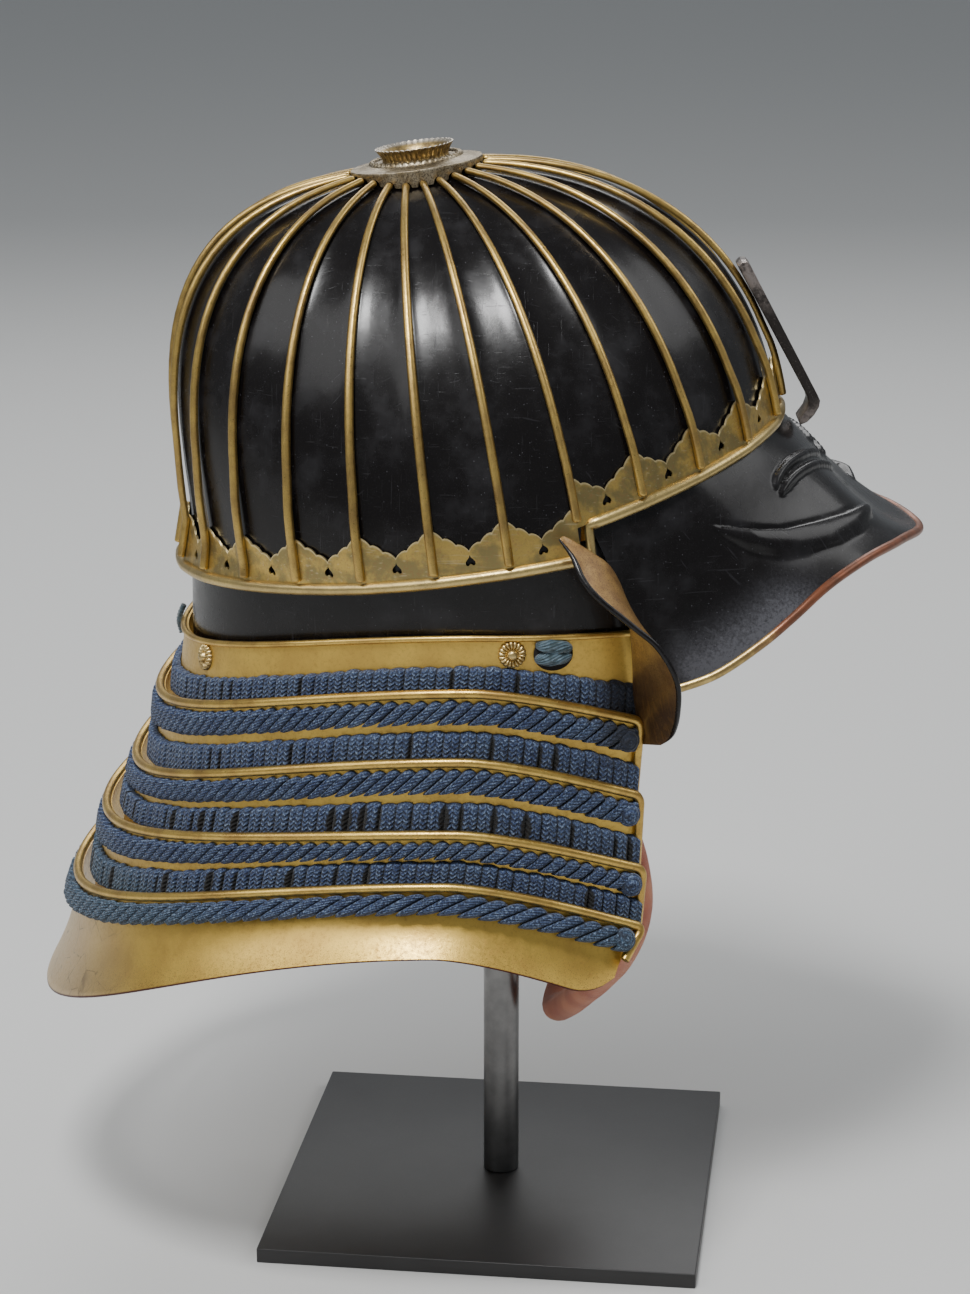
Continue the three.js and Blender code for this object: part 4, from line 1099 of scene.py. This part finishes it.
def indigo_finish(name, lines, columns, steep):
    """Braided silk: yarns that meet in the middle of each column of stitches, with faded
    flecks, painted shade along the edges of each column, a painted shadow under the ear flap, and painted
    black shade where two braids part."""
    made = Finish(name, Sheen_Weight=0.12, Sheen_Roughness=0.5)
    where = made.uv()
    across, along = made.part(where, 0) * columns, made.part(where, 1)
    half = (across.maths("FRACT") - 0.5).maths("ABSOLUTE")
    yarn = ((along * lines + half * steep) * 6.2832).maths("SINE") * 0.5 + 0.5
    gap = made.node("ShaderNodeAttribute", {"attribute_name": "gap"}, None, "Fac")
    place = made.place((0.1, 0.1, 0.1))
    fleck = made.noise(place, 15, 3, 0.65)
    cloud = made.noise(place, 0.5, 3, 0.5)
    spot = made.place()
    # ahead masks the lacing at the front top, where the ear flap lies over it.
    ahead = made.part(spot, 0).rise(28, 42) * made.part(spot, 2).rise(206, 222)
    teal = made.part(spot, 2).rise(168, 150) * 0.75
    tone = made.mix(cloud.rise(0.35, 0.65), (0.022, 0.044, 0.130), (0.038, 0.066, 0.150))
    tone = made.mix(teal, tone, (0.030, 0.072, 0.095))
    tone = made.mix(fleck.rise(0.5, 0.64) * 0.8, tone, (0.22, 0.30, 0.42))
    tone = made.mix(fleck.rise(0.47, 0.38) * 0.8, tone, (0.004, 0.006, 0.018))
    tone = made.mix(yarn * 0.62, tone, (0.004, 0.006, 0.016))
    # Painted shade: near-black along the edges of each column of stitches, where the braids meet.
    tone = made.mix(half.rise(0.40, 0.5) * 0.7, tone, (0.003, 0.004, 0.010))
    # Painted shadow: the lacing is darkened under the ear flap.
    tone = made.mix(ahead * 0.85, tone, (0.007, 0.009, 0.016))
    # Painted shade of the gaps and holes between the braids.
    tone = made.mix(gap, tone, (0.0015, 0.0015, 0.002))
    made.set(Base_Color=tone, Roughness=0.8, Normal=made.bump(yarn * -1.0 + fleck * 0.8, 0.35))
    return made


upright_silk = indigo_finish("indigo braid", 6, 2, 1.3)
slanted_silk = indigo_finish("indigo slanted braid", 6, 1, 2.6)
for k in range(len(LAMES) - 2):
    upright_row = braid_row(
        f"lacing_upright_{k + 1}", k, "upright",
        lambda seen: (seen - LACE["above"] - LACE["upright"] * seen, seen + 1.6))
    done(upright_row, upright_silk, "indigo_lace", f"lace_upright_{k + 1}", angle=70)
    slanted_row = braid_row(
        f"lacing_slanted_{k + 1}", k + 1, "slanted",
        lambda seen: (LACE["below"], LACE["below"] + LACE["slanted"] * seen))
    seen = LACE["hem_seen"] if k + 1 == len(LAMES) - 2 else lame_frame(k + 1, 0.97)[3] - LAME["tuck"]
    slanted_row = join([slanted_row, end_knot(k + 1, -1, seen), end_knot(k + 1, 1, seen)])
    done(slanted_row, slanted_silk, "indigo_lace", f"lace_slanted_{k + 1}", angle=70)


# ---------- ornaments of the first lame ----------
# Gilt rosettes of eighteen petals, two a side; a pair of thick cord ends in a hole behind
# each cheek; and a loop of cord for a bow at the back.
ROSETTE = {"radius": 4.9, "drop": 6.4, "x": {"front": 3.5, "rear": -110}, "petals": 18}
KNOT_X, KNOT_DROP = 18, 5.9


def share_of_x(x, hand):
    row = LAMES[0]
    long = row["centre_x"] - row["back"][0]
    return hand * math.acos(
        (row["centre_x"] - x) / long) / math.acos((row["centre_x"] - row["front"][0]) / long)


def placed(share, drop):
    """A function that sets a point, given across, up and out, on the first lame."""
    _, out, down, _ = lame_frame(0, round(share, 5))
    side = out.cross(down)
    centre = on_lame(0, share, 0.1, drop)
    return lambda x, y, z: centre + side * x - down * y + out * z


def rosette(name, put):
    def skin(u, v):
        angle = 2 * math.pi * u
        petal = abs(math.cos(ROSETTE["petals"] / 2 * angle)) ** 0.5
        radius = v * ROSETTE["radius"] * (1.05 - 0.13 * (1 - petal) * v**3)
        if v < 0.36:
            up = 1.5 + 1.4 * math.sqrt(1 - (v / 0.36) ** 2)
        else:
            outer = (v - 0.36) / 0.64
            up = 0.7 + 0.35 * outer + 0.9 * petal * math.sin(math.pi * min(outer * 1.1, 1)) ** 0.7
        if v == 1:
            up = 0.0
        return put(radius * math.cos(angle), radius * math.sin(angle), up)

    return grid(name, 108, 20, skin, wrap_u=True)


def twisted_strand(name, put, up, lean, long, thick):
    def skin(u, v):
        x = (2 * u - 1) * long
        size = thick * math.sqrt(max(1 - (2 * u - 1) ** 2, 0.0))
        turn = 2 * math.pi * v
        twist = 1 + 0.07 * math.sin(5 * turn + u * 16)
        return put(x, up + lean * x + size * twist * math.cos(turn),
                   0.6 + size * 1.05 * twist * math.sin(turn))

    return grid(name, 60, 40, skin, wrap_v=True)


rosette_gilt = gilt_finish("rosette gilding", (0.66, 0.50, 0.22), (0.40, 0.28, 0.12), 1.0)
teal = Finish("dark teal silk", Sheen_Weight=0.4, Sheen_Roughness=0.4)
teal_across = teal.part(teal.uv(), 1)
teal_yarn = ((teal_across * 14 + teal.part(teal.uv(), 0) * 5) * 6.2832).maths("SINE") * 0.5 + 0.5
teal_cloud = teal.noise(teal.place((0.1, 0.1, 0.1)), 5, 4, 0.6)
teal_tone = teal.mix(teal_cloud.rise(0.35, 0.65), (0.025, 0.055, 0.065), (0.10, 0.17, 0.22))
teal.set(Base_Color=teal.mix(teal_yarn * 0.5, teal_tone, (0.008, 0.014, 0.018)), Roughness=0.6,
         Normal=teal.bump(teal_yarn * -1.0, 0.3))
# Painted shade: the hole behind each cheek is a flat near-black disc standing for the shade inside it.
hole_shade = Finish("painted hole shade", Roughness=0.9)
hole_shade.set(Base_Color=(0.012, 0.009, 0.007))
for hand, side in (("right", -1), ("left", 1)):
    for where, x in ROSETTE["x"].items():
        flower = rosette(f"rosette_flower_{where}_{hand}", placed(share_of_x(x, side), ROSETTE["drop"]))
        done(flower, rosette_gilt, "gilt_copper", f"rosette_{where}_{hand}", angle=50)
    put = placed(share_of_x(KNOT_X, side), KNOT_DROP)
    strands = [
        twisted_strand(f"knot_strand_{hand}_{i}", put, up, lean, 6.9, 2.8)
        for i, (up, lean) in enumerate(((2.2, -0.06), (-1.9, 0.1)))]
    done(join(strands), teal, "indigo_lace", f"side_knot_{hand}", angle=70)
    # A near-black disc of painted shade in place of the hole.
    hole = grid(
        f"knot_hole_{hand}", 48, 4,
        lambda u, v: put(7.2 * v * math.cos(2 * math.pi * u),
                         6.2 * v * math.sin(2 * math.pi * u) - 0.6, 0.3 + 0.1 * (1 - v)),
        wrap_u=True)
    done(hole, hole_shade, "dark_iron", angle=40)

loop_top = guard_point(0, 0, 1.2)
loop_line = [
    Vector((loop_top.x - 1.4 * math.sin(math.pi * t) - 0.9 * (0.5 - t),
            0.5 * math.sin(9 * t), loop_top.z - 6 + 11 * t))
    for t in (i / 40 for i in range(41))]
back_loop = tube("back_cord", loop_line, lambda u: 1.1 * (1 + 0.12 * math.sin(u * 60)), 14)
done(back_loop, teal, "indigo_lace", "back_cord_loop", angle=80)


# ---------- ear flaps ----------
# Narrow twisted leaves of lacquered iron, turned back from the first lame at the temples:
# brown gold on the face and black along the thick turned edge.
EAR_FLAP = [
    {"root": (20.4, 111, 299.2), "edge": (19.4, 112, 298.4)},
    {"root": (26, 109.5, 295.6), "edge": (23.8, 117, 293.5)},
    {"root": (31.2, 107.5, 291.8), "edge": (27.5, 122.5, 286.5)},
    {"root": (37, 104.5, 286.5), "edge": (33.3, 126, 280.3)},
    {"root": (41.5, 103.5, 277.7), "edge": (45, 128, 271)},
    {"root": (45, 101.5, 265.5), "edge": (53.8, 128.5, 263.3)},
    {"root": (46.5, 99.5, 252.5), "edge": (60.3, 127.5, 250.9)},
    {"root": (47.2, 96.5, 236.5), "edge": (61.2, 121.5, 237.7)},
    {"root": (48.5, 95, 223.5), "edge": (59.9, 112, 227.1)},
    {"root": (49.5, 97, 218.5), "edge": (56.8, 104, 221)},
]


def flap_line(key, side):
    return [Vector((x, side * y, z)) for x, y, z in (row[key] for row in EAR_FLAP)]


flap_brown = Finish("brown gold lacquer", Coat_Weight=0.4, Coat_Roughness=0.2)
flap_place = flap_brown.place((0.1, 0.1, 0.1))
flap_cloud = flap_brown.noise(flap_place, 2.0, 5, 0.65)
flap_streak = flap_brown.noise(flap_brown.place((0.5, 0.5, 0.05)), 1.5, 4, 0.6)
flap_speck = flap_brown.noise(flap_place, 22, 2, 0.6)
flap_high = flap_brown.part(flap_brown.place(), 2)
flap_tone = flap_brown.mix(flap_cloud.rise(0.3, 0.7), (0.42, 0.25, 0.08), (0.26, 0.14, 0.05))
flap_tone = flap_brown.mix(flap_speck.rise(0.5, 0.64) * 0.6, flap_tone, (0.07, 0.035, 0.018))
flap_tone = flap_brown.mix(flap_high.rise(262, 236) * 0.85, flap_tone, (0.055, 0.028, 0.016))
flap_tone = flap_brown.mix(flap_streak.rise(0.5, 0.62) * flap_high.rise(268, 250) * 0.5,
                           flap_tone, (0.22, 0.11, 0.035))
flap_brown.set(Base_Color=flap_tone, Metallic=0.55, Roughness=0.36 + flap_speck * 0.15,
               Normal=flap_brown.bump(flap_cloud + flap_speck * 0.3, 0.06))
flap_black = lacquer_finish("black edge", 2.0)
for hand, side in (("right", -1), ("left", 1)):
    roots, edges = flap_line("root", side), flap_line("edge", side)

    def flap_skin(u, v):
        root, edge = through(roots, u), through(edges, u)
        return root.lerp(edge, v)

    leaf = grid(f"ear_leaf_{hand}", 90, 12, flap_skin, outward=(-20, 0, 250))
    apply(leaf, "SOLIDIFY", thickness=1.6 * mm, offset=0)
    apply(leaf, "BEVEL", width=0.45 * mm, segments=2, limit_method="ANGLE", angle_limit=math.radians(50))
    done(leaf, flap_brown, "brown_lacquer", f"ear_flap_{hand}", angle=40)
    edge_line = [through(edges, i / 80) for i in range(81)]
    edge_bar = tube(f"ear_edge_{hand}", edge_line,
                    lambda u: 0.35 + (0.85 - 0.3 * u) * min(1, 6 * u, 8 * (1 - u)), 12)
    done(edge_bar, flap_black, "black_lacquer", angle=80)


# ---------- stand ----------
# A round satin steel post with a pad inside the bowl, on a square plate painted satin black.
BASE = {"side": 170, "thick": 6, "turn": math.radians(-7.3)}
POST = {"radius": 7.1, "pad": 18, "pad_thick": 6, "top": 410.7}
bpy.ops.object.select_all(action="DESELECT")
bpy.ops.mesh.primitive_cube_add(size=1)
base = bpy.context.object
base.name = base.data.name = "stand_plate"
turned = Matrix.Rotation(BASE["turn"], 4, "Z")
for vertex in base.data.vertices:
    x, y, z = vertex.co
    vertex.co = turned @ Vector((x * BASE["side"], y * BASE["side"], (z + 0.5) * BASE["thick"])) * mm
apply(base, "BEVEL", width=0.5 * mm, segments=3, limit_method="ANGLE", angle_limit=math.radians(50))
satin_black = Finish("satin black paint", Coat_Weight=0.15, Coat_Roughness=0.3)
satin_grain = satin_black.noise(satin_black.place((0.1, 0.1, 0.1)), 16, 3, 0.6)
satin_cloud = satin_black.noise(satin_black.place((0.1, 0.1, 0.1)), 0.3, 4, 0.6)
satin_tone = satin_black.mix(satin_cloud.rise(0.3, 0.7) * 0.5 + satin_grain.rise(0.62, 0.75) * 0.3,
                              (0.011, 0.010, 0.010), (0.024, 0.023, 0.023))
satin_black.set(Base_Color=satin_tone, Roughness=0.42 + satin_grain * 0.1,
                Normal=satin_black.bump(satin_grain, 0.02))
done(base, satin_black, "satin_black", "stand_base", angle=35)

post_line = [
    (0.0, BASE["thick"] + 0.05), (POST["radius"] - 0.3, BASE["thick"] + 0.05),
    (POST["radius"], BASE["thick"] + 0.4),
    (POST["radius"], POST["top"] - POST["pad_thick"]), (POST["pad"] - 0.5, POST["top"] - POST["pad_thick"]),
    (POST["pad"], POST["top"] - POST["pad_thick"] + 0.5),
    (POST["pad"], POST["top"] - 2), (POST["pad"] - 3, POST["top"]),
    (0.0, POST["top"]),
]


def post_skin(u, v):
    radius, up = post_line[round(v * (len(post_line) - 1))]
    return Vector((radius * math.cos(2 * math.pi * u), radius * math.sin(2 * math.pi * u), up))


steel_post = grid("steel_post", 64, len(post_line) - 1, post_skin, wrap_u=True)
steel = Finish("satin steel")
steel_line = steel.noise(steel.place((0.5, 0.5, 0.012)), 3, 4, 0.6)
steel_cloud = steel.noise(steel.place((0.1, 0.1, 0.1)), 0.8, 4, 0.6)
steel.set(Base_Color=steel.mix(steel_cloud.rise(0.3, 0.7), (0.25, 0.245, 0.24), (0.18, 0.177, 0.175)),
          Metallic=1.0,
          Roughness=0.28 + steel_line * 0.14, Normal=steel.bump(steel_line, 0.01))
done(steel_post, steel, "satin_steel", "stand_post", angle=35)


# ---------- floor and light ----------
# A plain pale floor under soft studio lamps.
bpy.ops.mesh.primitive_plane_add(size=30)
floor = bpy.context.object
floor.name = "floor"
floor_paint = Finish("pale floor", Roughness=0.7)
floor_paint.set(Base_Color=(0.62, 0.62, 0.61))
floor.data.materials.append(floor_paint.material)

world = bpy.context.scene.world or bpy.data.worlds.new("room")
bpy.context.scene.world = world
world.use_nodes = True
world.node_tree.nodes["Background"].inputs["Color"].default_value = (0.8, 0.85, 0.9, 1)
world.node_tree.nodes["Background"].inputs["Strength"].default_value = 0.3


def lamp(name, place, aim, size, power, colour=(1, 1, 1)):
    bpy.ops.object.light_add(type="AREA", location=place)
    made = bpy.context.object
    made.name = name
    made.data.shape = "RECTANGLE"
    made.data.size, made.data.size_y = size
    made.data.energy = power
    made.data.color = colour
    made.rotation_euler = (Vector(aim) - Vector(place)).to_track_quat("-Z", "Y").to_euler()


lamp("overhead", (-0.25, -0.9, 1.9), (0, 0, 0.3), (0.42, 0.42), 34)
lamp("left_wall", (-1.9, -0.9, 2.0), (0, 0, 0.3), (2.4, 1.4), 26)
lamp("right_wall", (2.1, 0.5, 2.1), (0, 0, 0.3), (2.0, 1.2), 18)
lamp("back_wall", (0.0, 1.6, 1.5), (0, 0, 0.3), (1.6, 0.8), 16)
